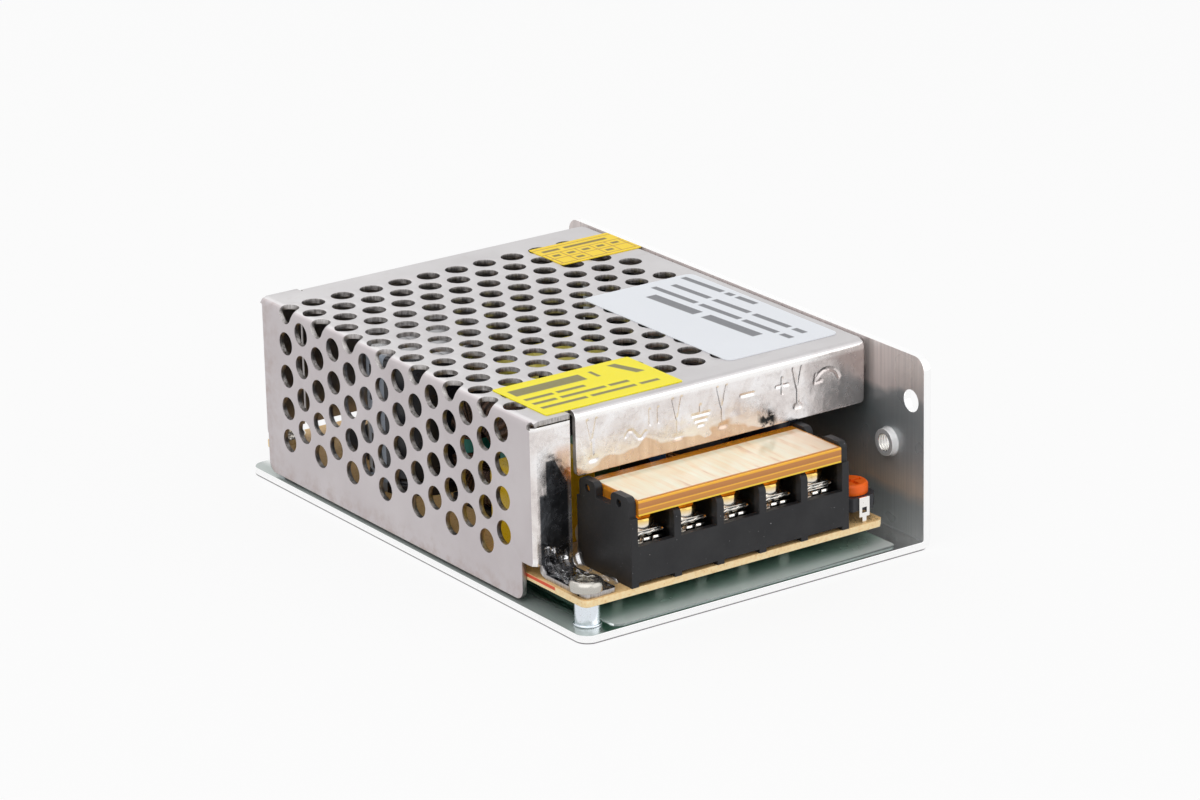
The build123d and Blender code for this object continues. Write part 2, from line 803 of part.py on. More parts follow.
# Hinged cover of the block: a plate with end skirts, a front lip and a pin at each rear ear
with BuildPart() as lid:
    lid_rear = hinge_y + lid_rear_reach
    with BuildSketch(Plane.YZ.offset(lid_left)) as lid_section:
        with BuildLine():
            Polyline(
                (block_front, hinge_z - lid_lip_drop),
                (block_front, lid_top),
                (lid_rear, lid_top),
                (lid_rear, hinge_z),
                (block_front + lid_lip, hinge_z),
                (block_front + lid_lip, hinge_z - lid_lip_drop),
                close=True,
            )
        make_face()
        fillet(lid_section.vertices().sort_by_distance((block_front, lid_top))[0], lid_edge)
    extrude(amount=lid_right - lid_left)
    for skirt_left in (lid_left, lid_right - lid_sheet):
        with BuildSketch(Plane.YZ.offset(skirt_left)) as skirt:
            with Locations(((block_front + lid_rear) / 2, hinge_z - lid_skirt / 2 + lid_edge / 2)):
                Rectangle(lid_rear - block_front, lid_skirt + lid_edge)
            low_rear = skirt.vertices().group_by(Axis.Y)[0].sort_by(Axis.X)[-1]
            fillet(low_rear, lid_skirt - lid_edge)
        extrude(amount=lid_sheet)
    for pin_start, reach in ((lid_left, -pin_length), (lid_right, pin_length)):
        with BuildSketch(Plane.YZ.offset(pin_start)):
            with Locations((hinge_y, hinge_z)):
                Circle(hinge_pin_radius)
        extrude(amount=reach)
lid.part.label = "terminal_cover"
export_step(lid.part, "parts/terminal_cover.step")


# Trimmer: body on three legs, a wide leg in front, and a slotted rotor on top
with BuildPart() as trimmer_body:
    with BuildSketch(Plane.XY.offset(trimmer_bottom)) as trimmer_outline:
        with Locations((trimmer_x, trimmer_y)):
            Rectangle(trimmer_size, trimmer_size)
        chamfer(trimmer_outline.vertices(), trimmer_corner)
    extrude(amount=trimmer_body_height)
    with BuildSketch(Plane.XY.offset(board_top)):
        rear_leg_y = trimmer_y + trimmer_size / 2 - lead_size
        for leg_x in (trimmer_x - trimmer_size / 4, trimmer_x + trimmer_size / 4):
            with Locations((leg_x, rear_leg_y)):
                Rectangle(lead_size, lead_size / 2)
    extrude(amount=trimmer_stand)
trimmer_body.part.label = "trimmer_body"
export_step(trimmer_body.part, "parts/trimmer_body.step")

with BuildPart() as trimmer_leg:
    leg_front = trimmer_y - trimmer_size / 2 - leg_sheet
    leg_height = trimmer_stand + trimmer_body_height
    with BuildSketch(Plane.XZ.offset(-leg_front - leg_sheet)):
        with Locations((trimmer_x, board_top + leg_height / 2 + leg_width / 4)):
            Rectangle(leg_width, leg_height - leg_width / 2)
        with Locations((trimmer_x, board_top + leg_width / 2)):
            Rectangle(lead_size, leg_width)
        with Locations((trimmer_x, board_top + leg_height / 2)):
            Rectangle(leg_window, leg_window, mode=Mode.SUBTRACT)
    extrude(amount=leg_sheet)
trimmer_leg.part.label = "trimmer_leg"
export_step(trimmer_leg.part, "parts/trimmer_leg.step")

with BuildPart() as rotor:
    with BuildSketch(Plane.XY.offset(trimmer_top + rotor_gap)):
        with Locations((trimmer_x, trimmer_y)):
            Circle(rotor_radius)
    extrude(amount=rotor_height)
    rim = rotor.edges().filter_by(GeomType.CIRCLE).group_by(Axis.Z)[-1]
    chamfer(rim, lid_edge)
    with BuildSketch(Plane.XY.offset(trimmer_top + rotor_gap + rotor_height)):
        with Locations((trimmer_x, trimmer_y)):
            Rectangle(rotor_slot_length, rotor_slot_width)
            Rectangle(rotor_slot_width, rotor_slot_length)
    extrude(amount=-rotor_slot_depth, mode=Mode.SUBTRACT)
rotor.part.label = "trimmer_rotor"
export_step(rotor.part, "parts/trimmer_rotor.step")


# Mains side of the board
with BuildPart() as x_cap:
    x_length, x_depth, x_height = x_cap_size
    with BuildSketch(Plane.XY.offset(board_top)):
        with Locations(x_cap_place):
            RectangleRounded(x_length, x_depth, component_edge)
    extrude(amount=x_height)
    fillet(x_cap.faces().sort_by(Axis.Z)[-1].edges(), component_edge)
x_cap.part.label = "x_capacitor"
export_step(x_cap.part, "parts/x_capacitor.step")

with BuildPart() as fuse:
    fuse_x, fuse_y = fuse_place
    fuse_axis_z = board_top + fuse_stand + fuse_radius
    with BuildSketch(Plane.YZ.offset(fuse_x - fuse_length / 2)):
        with Locations((fuse_y, fuse_axis_z)):
            Circle(fuse_radius)
    extrude(amount=fuse_length)
    with BuildSketch(Plane.YZ.offset(fuse_x - fuse_length / 2 - lead_size)):
        with Locations((fuse_y, (board_top + fuse_axis_z) / 2)):
            Rectangle(lead_size, fuse_axis_z - board_top)
    extrude(amount=lead_size)
    with BuildSketch(Plane.YZ.offset(fuse_x + fuse_length / 2)):
        with Locations((fuse_y, (board_top + fuse_axis_z) / 2)):
            Rectangle(lead_size, fuse_axis_z - board_top)
    extrude(amount=lead_size)
fuse.part.label = "fuse"
export_step(fuse.part, "parts/fuse.step")

choke_x, choke_y = choke_place
choke_z = board_top + choke_base_height + choke_outer + choke_wire
with BuildPart() as choke_core:
    with BuildSketch(Plane.YZ.offset(choke_x - choke_depth / 2)):
        with Locations((choke_y, choke_z)):
            Circle(choke_outer)
            Circle(choke_inner, mode=Mode.SUBTRACT)
    extrude(amount=choke_depth)
    ends = choke_core.edges().filter_by(GeomType.CIRCLE)
    chamfer(ends, component_edge)
choke_core.part.label = "line_choke_core"
export_step(choke_core.part, "parts/line_choke_core.step")

# Each winding is a sleeve round one half of the ring
with BuildPart() as choke_windings:
    for start in (winding_gap, 180 + winding_gap):
        arc = 180 - 2 * winding_gap
        sector = Plane(
            origin=(choke_x, choke_y, choke_z),
            x_dir=(0, math.cos(math.radians(start)), math.sin(math.radians(start))),
            z_dir=(0, -math.sin(math.radians(start)), math.cos(math.radians(start))),
        )
        with BuildSketch(sector) as wire_section:
            ring_mid = (choke_outer + choke_inner) / 2
            ring_wide = choke_outer - choke_inner
            with Locations((ring_mid, 0)):
                Rectangle(ring_wide + 2 * choke_wire, choke_depth + 2 * choke_wire)
                chamfer(wire_section.vertices(), choke_wire)
                Rectangle(
                    ring_wide + 2 * fit_clearance, choke_depth + 2 * fit_clearance, mode=Mode.SUBTRACT
                )
        revolve(axis=Axis((choke_x, choke_y, choke_z), (1, 0, 0)), revolution_arc=arc)
choke_windings.part.label = "line_choke_windings"
export_step(choke_windings.part, "parts/line_choke_windings.step")

with BuildPart() as choke_base:
    with BuildSketch(Plane.XY.offset(board_top)):
        with Locations(choke_place):
            RectangleRounded(choke_depth + 2 * choke_wire, 2 * choke_outer, component_edge)
    extrude(amount=choke_base_height)
choke_base.part.label = "line_choke_base"
export_step(choke_base.part, "parts/line_choke_base.step")

with BuildPart() as thermistor:
    disc_x, disc_y = thermistor_place
    disc_z = board_top + lead_length + thermistor_radius
    with BuildSketch(Plane.XZ.offset(-disc_y - thermistor_thickness / 2)):
        with Locations((disc_x, disc_z)):
            Circle(thermistor_radius)
    extrude(amount=thermistor_thickness)
    chamfer(thermistor.edges().filter_by(GeomType.CIRCLE), component_edge)
    with BuildSketch(Plane.XY.offset(board_top)):
        half_span = thermistor_radius / 2
        with Locations((disc_x - half_span, disc_y), (disc_x + half_span, disc_y)):
            Rectangle(lead_size, lead_size)
    extrude(amount=lead_length + thermistor_radius)
thermistor.part.label = "inrush_thermistor"
export_step(thermistor.part, "parts/inrush_thermistor.step")


def upright_can(place, radius, height):
    """An aluminium can in a sleeve, standing on the board, with a groove near its foot."""
    with BuildPart() as can:
        with BuildSketch(Plane.XY.offset(board_top)):
            with Locations(place):
                Circle(radius)
        extrude(amount=height)
        top_rim = can.edges().filter_by(GeomType.CIRCLE).group_by(Axis.Z)[-1]
        fillet(top_rim, can_edge)
        with BuildSketch(Plane.XY.offset(board_top + can_groove_height)):
            with Locations(place):
                Circle(radius)
                Circle(radius - can_groove, mode=Mode.SUBTRACT)
        extrude(amount=2 * can_groove, mode=Mode.SUBTRACT)
    return can.part


bulk_cap = upright_can(bulk_place, bulk_radius, bulk_height)
bulk_cap.label = "bulk_capacitor"
export_step(bulk_cap, "parts/bulk_capacitor.step")

for number, place in enumerate(out_cap_places, start=1):
    output_cap = upright_can(place, out_cap_radius, out_cap_height)
    output_cap.label = f"output_capacitor_{number}"
    export_step(output_cap, f"parts/output_capacitor_{number}.step")

small_cap = upright_can(small_cap_place, small_cap_radius, small_cap_height)
small_cap.label = "supply_capacitor"
export_step(small_cap, "parts/supply_capacitor.step")


def axial_row(place, pitch, count, radius, length):
    """Axial parts lying side by side, each on two bent leads that stand on the board."""
    first_x, row_y = place
    lead_reach = length / 2 + lead_size
    with BuildPart() as row:
        for i in range(count):
            part_x = first_x + i * pitch
            with BuildSketch(Plane.XZ.offset(-row_y - length / 2)):
                with Locations((part_x, board_top + radius + fuse_stand)):
                    Circle(radius)
            extrude(amount=length)
            for lead_y in (row_y - lead_reach, row_y + lead_reach):
                with BuildSketch(Plane.XY.offset(board_top)):
                    with Locations((part_x, lead_y)):
                        Rectangle(lead_size, lead_size)
                extrude(amount=radius + fuse_stand + lead_size / 2)
            with BuildSketch(Plane.XZ.offset(-row_y - lead_reach)):
                with Locations((part_x, board_top + radius + fuse_stand)):
                    Rectangle(lead_size, lead_size)
            extrude(amount=2 * lead_reach)
    return row.part


diodes = axial_row(diode_place, diode_pitch, 4, diode_radius, diode_length)
diodes.label = "rectifier_diodes"
export_step(diodes, "parts/rectifier_diodes.step")

resistors = axial_row(resistor_place, resistor_pitch, resistor_count, resistor_radius, resistor_length)
resistors.label = "resistors"
export_step(resistors, "parts/resistors.step")


# Transformer: a taped winding lying along Y, ringed by a flat ferrite core
trafo_x, trafo_y = transformer_place
core_z = board_top + core_lift + core_height / 2
window = core_length - 2 * core_back
with BuildPart() as core:
    with BuildSketch(Plane.XY.offset(core_z - core_height / 2)):
        with Locations(transformer_place):
            Rectangle(core_width, core_length)
            Rectangle(core_width - 2 * core_leg, window, mode=Mode.SUBTRACT)
            Rectangle(2 * core_leg, window)
    extrude(amount=core_height)
core.part.label = "transformer_core"
export_step(core.part, "parts/transformer_core.step")

with BuildPart() as bobbin:
    flange_ys = (trafo_y - window / 2, trafo_y + window / 2 - bobbin_flange)
    flange_width = core_width - 2 * core_leg - 2 * bobbin_side_gap
    for flange_y in flange_ys:
        with BuildSketch(Plane.XZ.offset(-flange_y - bobbin_flange)):
            with Locations((trafo_x, core_z)):
                Rectangle(flange_width, winding_height)
        extrude(amount=bobbin_flange)
    with BuildSketch(Plane.XZ.offset(-trafo_y - window / 2)):
        with Locations((trafo_x, core_z)):
            Rectangle(2 * (core_leg + bobbin_flange), core_height + 2 * bobbin_flange)
    extrude(amount=window)
    with BuildSketch(Plane.XZ.offset(-trafo_y - window / 2)):
        with Locations((trafo_x, core_z)):
            Rectangle(2 * core_leg, core_height)
    extrude(amount=window, mode=Mode.SUBTRACT)
    # Feet under the core's backs, joined to the flanges, carry the pins
    with BuildSketch(Plane.XY.offset(board_top)):
        foot_ys = (trafo_y - window / 2 - bobbin_foot / 2 + bobbin_flange,
                   trafo_y + window / 2 + bobbin_foot / 2 - bobbin_flange)
        with Locations(*[(trafo_x, foot_y) for foot_y in foot_ys]):
            Rectangle(flange_width, bobbin_foot)
    extrude(amount=core_lift)
bobbin.part.label = "transformer_bobbin"
export_step(bobbin.part, "parts/transformer_bobbin.step")

with BuildPart() as winding:
    winding_length = window - 2 * bobbin_flange
    with BuildSketch(Plane.XZ.offset(-trafo_y - winding_length / 2)):
        with Locations((trafo_x, core_z)):
            RectangleRounded(winding_width, winding_height - bobbin_flange, winding_corner)
            Rectangle(2 * (core_leg + bobbin_flange), core_height + 2 * bobbin_flange, mode=Mode.SUBTRACT)
    extrude(amount=winding_length)
winding.part.label = "transformer_winding"
export_step(winding.part, "parts/transformer_winding.step")


# Low voltage side of the board
with BuildPart() as out_choke_core:
    with BuildSketch(Plane.XY.offset(board_top)):
        with Locations(out_choke_place):
            Circle(out_choke_radius)
    extrude(amount=out_choke_height)
    with BuildSketch(Plane.XY.offset(board_top + out_choke_flange)):
        with Locations(out_choke_place):
            Circle(out_choke_radius)
            Circle(out_choke_neck, mode=Mode.SUBTRACT)
    extrude(amount=out_choke_height - 2 * out_choke_flange, mode=Mode.SUBTRACT)
out_choke_core.part.label = "output_choke_core"
export_step(out_choke_core.part, "parts/output_choke_core.step")

with BuildPart() as out_choke_coil:
    with BuildSketch(Plane.XY.offset(board_top + out_choke_flange + fit_clearance)):
        with Locations(out_choke_place):
            Circle(out_choke_radius - choke_wire / 2)
            Circle(out_choke_neck + fit_clearance, mode=Mode.SUBTRACT)
    extrude(amount=out_choke_height - 2 * out_choke_flange - 2 * fit_clearance)
out_choke_coil.part.label = "output_choke_coil"
export_step(out_choke_coil.part, "parts/output_choke_coil.step")

with BuildPart() as y_cap:
    y_x, y_y = y_cap_place
    with BuildSketch(Plane.YZ.offset(y_x - y_cap_thickness / 2)):
        with Locations((y_y, board_top + lead_length + y_cap_radius)):
            Circle(y_cap_radius)
    extrude(amount=y_cap_thickness)
    chamfer(y_cap.edges().filter_by(GeomType.CIRCLE), component_edge)
    with BuildSketch(Plane.XY.offset(board_top)):
        with Locations((y_x, y_y - y_cap_radius / 2), (y_x, y_y + y_cap_radius / 2)):
            Rectangle(lead_size, lead_size)
    extrude(amount=lead_length + y_cap_radius)
y_cap.part.label = "y_capacitor"
export_step(y_cap.part, "parts/y_capacitor.step")


def pinned_package(place, size, pins_a_side):
    """A moulded package standing on two rows of pins."""
    place_x, place_y = place
    wide, long, tall = size
    with BuildPart() as package:
        with BuildSketch(Plane.XY.offset(board_top + package_gap)):
            with Locations(place):
                Rectangle(wide, long)
        extrude(amount=tall)
        with BuildSketch(Plane.XY.offset(board_top)):
            for side in (-1, 1):
                for pin in range(pins_a_side):
                    pin_y = place_y + (pin - (pins_a_side - 1) / 2) * package_lead_pitch
                    with Locations((place_x + side * (wide + lead_size / 2) / 2, pin_y)):
                        Rectangle(lead_size / 2, lead_size)
        extrude(amount=package_gap + tall / 2)
    return package.part


control_chip = pinned_package(chip_place, chip_size, 4)
control_chip.label = "control_chip"
export_step(control_chip, "parts/control_chip.step")

optocoupler = pinned_package(coupler_place, coupler_size, 2)
optocoupler.label = "optocoupler"
export_step(optocoupler, "parts/optocoupler.step")

with BuildPart() as reference:
    with BuildSketch(Plane.XY.offset(board_top + lead_length)) as reference_outline:
        with Locations(reference_place):
            Circle(reference_radius)
            with Locations((0, reference_radius)):
                Rectangle(2 * reference_radius, 2 * reference_flat, mode=Mode.SUBTRACT)
    extrude(amount=reference_height)
    with BuildSketch(Plane.XY.offset(board_top)):
        reference_x, reference_y = reference_place
        for lead in (-1, 0, 1):
            with Locations((reference_x + lead * reference_radius / 2, reference_y - lead_size)):
                Rectangle(lead_size / 2, lead_size / 2)
    extrude(amount=lead_length)
reference.part.label = "voltage_reference"
export_step(reference.part, "parts/voltage_reference.step")


# Power semiconductors: screwed to the wall over insulating pads, with leads bent on to the board
for name, device_y in zip(("switching_transistor", "output_rectifier"), transistor_y):
    with BuildPart() as device:
        with BuildSketch(Plane.XZ.offset(-device_y - package_width / 2)):
            with BuildLine():
                Polyline(
                    (package_right, package_bottom),
                    (package_right, package_bottom + package_tab_height),
                    (package_right - package_tab, package_bottom + package_tab_height),
                    (package_right - package_tab, package_bottom + package_height),
                    (package_right - package_depth, package_bottom + package_height),
                    (package_right - package_depth, package_bottom),
                    close=True,
                )
            make_face()
        extrude(amount=package_width)
        with BuildSketch(Plane.YZ.offset(package_right)):
            with Locations((device_y, package_hole_z)):
                Circle(package_hole_radius)
        extrude(amount=-package_tab, mode=Mode.SUBTRACT)
        for pin in (-1, 0, 1):
            pin_y = device_y + pin * package_lead_pitch
            lead_x = package_right - package_depth / 2
            with BuildSketch(Plane.XZ.offset(-pin_y - lead_size / 2)):
                with BuildLine():
                    Polyline(
                        (lead_x, package_bottom),
                        (lead_x, package_bottom - lead_size),
                        (lead_x - package_lead_run, package_bottom - lead_size),
                        (lead_x - package_lead_run, board_top),
                        (lead_x - package_lead_run - lead_size, board_top),
                        (lead_x - package_lead_run - lead_size, package_bottom),
                        close=True,
                    )
                make_face()
            extrude(amount=lead_size)
    device.part.label = name
    export_step(device.part, f"parts/{name}.step")

    with BuildPart() as pad:
        with BuildSketch(Plane.YZ.offset(pad_left)):
            with Locations((device_y, package_bottom + package_tab_height / 2)):
                RectangleRounded(package_width + 2 * pad_margin, package_tab_height, pad_margin / 2)
            with Locations((device_y, package_hole_z)):
                Circle(m3_shank_radius + m3_hole_clearance, mode=Mode.SUBTRACT)
        extrude(amount=pad_thickness)
    pad.part.label = f"{name}_pad"
    export_step(pad.part, f"parts/{name}_pad.step")

# Their screws, with the heads inside and the ends flush with the wall's outer face
with BuildPart() as wall_screws:
    head_seat = package_right - package_tab
    with BuildSketch(Plane.YZ.offset(head_seat)):
        with Locations(*[(y, package_hole_z) for y in transistor_y]):
            Circle(m3_head_radius)
    extrude(amount=-m3_head_height)
    crowns = wall_screws.edges().filter_by(GeomType.CIRCLE).group_by(Axis.X)[0]
    fillet(crowns, m3_head_round)
    with BuildSketch(Plane.YZ.offset(head_seat)):
        with Locations(*[(y, package_hole_z) for y in transistor_y]):
            Circle(m3_shank_radius)
    extrude(amount=case_width / 2 - head_seat)
wall_screws.part.label = "wall_screws"
export_step(wall_screws.part, "parts/wall_screws.step")


def label_sheet(left, front, size, corner):
    """A thin sheet stuck on the cover's top, its left front corner at (left, front)."""
    across, along = size
    with BuildPart() as sheet:
        with BuildSketch(Plane.XY.offset(cover_top)):
            with Locations((left + across / 2, front + along / 2)):
                RectangleRounded(across, along, corner)
        extrude(amount=label_thickness)
    return sheet.part


front_label = label_sheet(
    cover_left + front_label_from_left, cover_front + front_label_from_front, front_label_size, label_corner
)
front_label.label = "front_label"
export_step(front_label, "parts/front_label.step")

rating_label = label_sheet(
    wall_inner - rating_label_from_wall - rating_label_size[0],
    cover_front + rating_label_from_front,
    rating_label_size,
    rating_label_corner,
)
rating_label.label = "rating_label"
export_step(rating_label, "parts/rating_label.step")

date_label = label_sheet(
    wall_inner - date_label_from_wall - date_label_size[0],
    cover_rear - date_label_from_rear - date_label_size[1],
    date_label_size,
    label_corner,
)
date_label.label = "date_label"
export_step(date_label, "parts/date_label.step")
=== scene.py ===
import json
import math

import bmesh
import bpy
import numpy as np
from mathutils import Matrix, Vector
from mathutils.geometry import delaunay_2d_cdt

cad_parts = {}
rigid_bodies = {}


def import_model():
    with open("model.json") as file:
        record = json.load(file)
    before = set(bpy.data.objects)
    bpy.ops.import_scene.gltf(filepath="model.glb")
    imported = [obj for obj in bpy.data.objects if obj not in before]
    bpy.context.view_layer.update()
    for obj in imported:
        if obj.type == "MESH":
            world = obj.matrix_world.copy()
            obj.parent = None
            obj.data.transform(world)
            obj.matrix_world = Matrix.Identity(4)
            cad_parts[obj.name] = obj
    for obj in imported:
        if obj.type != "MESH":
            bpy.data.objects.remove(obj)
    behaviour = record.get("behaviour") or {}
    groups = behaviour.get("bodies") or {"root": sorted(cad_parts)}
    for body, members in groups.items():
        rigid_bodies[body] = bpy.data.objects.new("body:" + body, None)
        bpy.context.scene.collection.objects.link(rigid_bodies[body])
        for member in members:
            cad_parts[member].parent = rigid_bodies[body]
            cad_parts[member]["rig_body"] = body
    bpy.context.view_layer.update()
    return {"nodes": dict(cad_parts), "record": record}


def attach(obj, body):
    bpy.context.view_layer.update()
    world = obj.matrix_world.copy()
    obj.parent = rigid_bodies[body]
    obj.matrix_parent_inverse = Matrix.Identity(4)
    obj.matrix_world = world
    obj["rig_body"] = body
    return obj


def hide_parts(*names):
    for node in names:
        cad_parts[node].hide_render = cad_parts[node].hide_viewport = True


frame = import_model()
MM = 0.001


def placed(name, data):
    """A new object in the scene."""
    made = bpy.data.objects.new(name, data)
    bpy.context.scene.collection.objects.link(made)
    return made


# Camera, from the fit of the photograph's edges; lengths in metres, the focal length in pixels
AZIMUTH, ELEVATION, ROLL = (math.radians(a) for a in (34.64489, 19.24661, -1.2664))
CAMERA_PLACE = (-0.351677, -0.514107, 0.233826)
FOCAL_LENGTH, PHOTO_WIDTH, SENSOR_WIDTH = 4685.294, 1200, 36.0


def photo_camera():
    forward = Vector((
        math.sin(AZIMUTH) * math.cos(ELEVATION),
        math.cos(AZIMUTH) * math.cos(ELEVATION),
        -math.sin(ELEVATION),
    ))
    level = forward.cross(Vector((0, 0, 1))).normalized()
    up = level.cross(forward)
    right = math.cos(ROLL) * level + math.sin(ROLL) * up
    top = -math.sin(ROLL) * level + math.cos(ROLL) * up
    data = bpy.data.cameras.new("photo_camera")
    data.sensor_width = SENSOR_WIDTH
    data.lens = FOCAL_LENGTH / PHOTO_WIDTH * SENSOR_WIDTH
    data.clip_start = 0.01
    camera = placed("photo_camera", data)
    turn = Matrix((right, top, -forward)).transposed().to_4x4()
    camera.matrix_world = Matrix.Translation(CAMERA_PLACE) @ turn
    bpy.context.scene.camera = camera


photo_camera()
bpy.context.scene.view_settings.view_transform = "Standard"


class Graph:
    """Shorthand for a node tree: values may be sockets, numbers or colours."""

    def __init__(self, tree):
        self.tree = tree

    def give(self, value, target):
        """Links a socket to the target, or sets the target's own value."""
        if isinstance(value, bpy.types.NodeSocket):
            self.tree.links.new(value, target)
        elif target.type == "RGBA":
            target.default_value = (*value, 1.0)
        else:
            target.default_value = value

    def new(self, kind, *values, **named):
        """A new node, with its inputs given in order or by name."""
        node = self.tree.nodes.new("ShaderNode" + kind)
        for target, value in zip(node.inputs, values):
            self.give(value, target)
        for key, value in named.items():
            self.give(value, node.inputs[key.replace("_", " ")])
        return node

    def maths(self, how, first, second=0.0, third=0.0):
        node = self.new("Math", first, second, third)
        node.operation = how
        return node.outputs[0]

    def plus(self, first, second):
        return self.maths("ADD", first, second)

    def minus(self, first, second):
        return self.maths("SUBTRACT", first, second)

    def both(self, first, second):
        return self.maths("MULTIPLY", first, second)

    def larger(self, first, second):
        return self.maths("MAXIMUM", first, second)

    def near(self, value, middle, reach):
        """1 where the value is within reach of the middle."""
        return self.maths("COMPARE", value, middle, reach)

    def distance(self, first, second):
        return self.maths("SQRT", self.plus(self.both(first, first), self.both(second, second)))

    def seen(self):
        """1 for the rays that show the backdrop itself: camera, glossy and transmission."""
        paths = self.new("LightPath").outputs
        pale = self.larger(paths["Is Camera Ray"], paths["Is Glossy Ray"])
        return self.larger(pale, paths["Is Transmission Ray"])

    def blend(self, share, first, second, output):
        """Mixes the shaders of two nodes into the tree's output node."""
        node = self.new("MixShader", share, first.outputs[0], second.outputs[0])
        self.give(node.outputs[0], self.tree.nodes[output].inputs["Surface"])

    def noise(self, size, detail, rough, stretch=(1, 1, 1), distort=0.0):
        """Noise whose features are about size metres across."""
        spot = self.new("Mapping", Vector=self.new("TexCoord").outputs["Object"], Scale=stretch)
        node = self.new("TexNoise", Vector=spot.outputs["Vector"], Scale=1.0 / size, Detail=detail)
        self.give(rough, node.inputs["Roughness"])
        self.give(distort, node.inputs["Distortion"])
        return node.outputs["Fac"]

    def ramp(self, fac, *stops):
        node = self.new("ValToRGB", fac)
        band = node.color_ramp
        while len(band.elements) < len(stops):
            band.elements.new(0.5)
        for element, (place, colour) in zip(band.elements, stops):
            element.position = place
            element.color = (*colour, 1.0)
        return node.outputs["Color"]

    def spread(self, fac, low, high, start=0.3, end=0.7):
        """The factor's range start-end turned into low-high."""
        return self.new("MapRange", fac, start, end, low, high).outputs["Result"]

    def mix(self, fac, first, second):
        node = self.new("Mix", fac)
        node.data_type = "RGBA"
        self.give(first, node.inputs[6])
        self.give(second, node.inputs[7])
        return node.outputs[2]

    def bump(self, height, depth, strength, under=None):
        """A bump whose full height stands for depth metres, over another one."""
        node = self.new("Bump", Strength=strength, Distance=depth, Height=height)
        if under is not None:
            self.give(under, node.inputs["Normal"])
        return node.outputs["Normal"]

    # Masks, 0 to 1, whose places are millimetres
    def axes(self, output="Object"):
        return self.new("SeparateXYZ", self.new("TexCoord").outputs[output]).outputs

    def above(self, value, edge, soft=0.05):
        return self.spread(value, 0.0, 1.0, (edge - soft) * MM, (edge + soft) * MM)

    def below(self, value, edge, soft=0.05):
        return self.minus(1.0, self.above(value, edge, soft))

    def between(self, value, low, high, soft=0.05):
        fall = self.spread(value, 1.0, 0.0, (high - soft) * MM, (high + soft) * MM)
        return self.both(self.above(value, low, soft), fall)

    def boxes(self, x, y, bars, soft):
        """1 inside any of the bars (x0, x1, y0, y1)."""
        total = None
        for x0, x1, y0, y1 in bars:
            bar = self.both(self.between(x, x0, x1, soft), self.between(y, y0, y1, soft))
            total = bar if total is None else self.larger(total, bar)
        return total

    def ragged(self, value, noise, shift, start=0.3, end=0.7):
        """A coordinate shifted up to so many millimetres either way by a noise."""
        return self.plus(value, self.spread(noise, -shift * MM, shift * MM, start, end))

    def facing(self, axis, way):
        """1 on faces that look along an axis of the object."""
        normal = self.axes("Normal")[axis]
        return self.maths("GREATER_THAN", self.both(normal, way), 0.5)


class Finish(Graph):
    """A Principled material whose tone is painted on in layers."""

    def __init__(self, name, colour, rough, metal=0.0, **sockets):
        self.made = bpy.data.materials.new(name)
        self.made.use_nodes = True
        super().__init__(self.made.node_tree)
        self.shader = self.tree.nodes["Principled BSDF"]
        self.feed(Base_Color=colour, Roughness=rough, Metallic=metal, **sockets)
        self.tone = colour

    def feed(self, **sockets):
        for key, value in sockets.items():
            self.give(value, self.shader.inputs[key.replace("_", " ")])

    def paint(self, mask, colour, share=None):
        """Lays a colour over the tone where the mask is 1, at a share of its full strength."""
        if share is not None:
            mask = self.both(mask, share)
        self.tone = self.mix(mask, self.tone, colour)

    def stain(self, noise, colour, share, start=0.3, end=0.7):
        """Paints where a noise is high, up to a share."""
        self.paint(self.spread(noise, 0.0, share, start, end), colour)

    def done(self, **sockets):
        """Links the painted tone and the sockets; returns the material."""
        self.feed(Base_Color=self.tone, **sockets)
        return self.made

    def surface(self, noise, low, high, depth, strength, **sockets):
        """Done, with roughness and bumps that both follow a noise."""
        rough = self.spread(noise, low, high)
        return self.done(Roughness=rough, Normal=self.bump(noise, depth, strength), **sockets)


# Lighting, floor and world, in metres and watts; each lamp has its place, size and power
WHITE = (1.0, 1.0, 1.0)
AMBIENT, FLOOR_GLOW = 0.55, 0.85
FLOOR_REACH, FLOOR_DROP = 6.0, 0.00005
LAMPS = (
    ("key_softbox", (-0.45, -0.35, 0.85), 1.25, 4.4),
    ("fill_softbox", (0.55, -0.75, 0.5), 1.1, 1.95),
    ("rear_softbox", (0.05, 0.75, 0.8), 0.8, 1.05),
)


def studio_world():
    """White where it is seen, dimmer as a light."""
    world = bpy.data.worlds.new("studio")
    bpy.context.scene.world = world
    world.use_nodes = True
    graph = Graph(world.node_tree)
    ambient = graph.tree.nodes["Background"]
    graph.give(WHITE, ambient.inputs["Color"])
    graph.give(AMBIENT, ambient.inputs["Strength"])
    backdrop = graph.new("Background", Color=WHITE, Strength=1.0)
    graph.blend(graph.seen(), ambient, backdrop, "World Output")


def studio_floor():
    """Matt paper that glows just enough to meet the white backdrop."""
    f = Finish("studio_floor", (0.86, 0.86, 0.86), 0.9, Specular_IOR_Level=0.2)
    glow = f.new("Emission", Strength=1.0)
    f.blend(f.both(f.seen(), FLOOR_GLOW), f.shader, glow, "Material Output")
    mesh = bpy.data.meshes.new("studio_floor")
    rim = [(x * FLOOR_REACH, y * FLOOR_REACH, 0) for x, y in ((-1, -1), (1, -1), (1, 1), (-1, 1))]
    mesh.from_pydata(rim, [], [(0, 1, 2, 3)])
    mesh.materials.append(f.made)
    floor = placed("studio_floor", mesh)
    floor.location.z = -FLOOR_DROP


def studio_lamps():
    """Large square lamps of low radiance, all turned to the origin."""
    for name, place, size, power in LAMPS:
        data = bpy.data.lights.new(name, "AREA")
        data.shape = "SQUARE"
        data.size = size
        data.energy = power
        lamp = placed(name, data)
        lamp.location = place
        lamp.rotation_euler = (-Vector(place)).to_track_quat("-Z", "Y").to_euler()


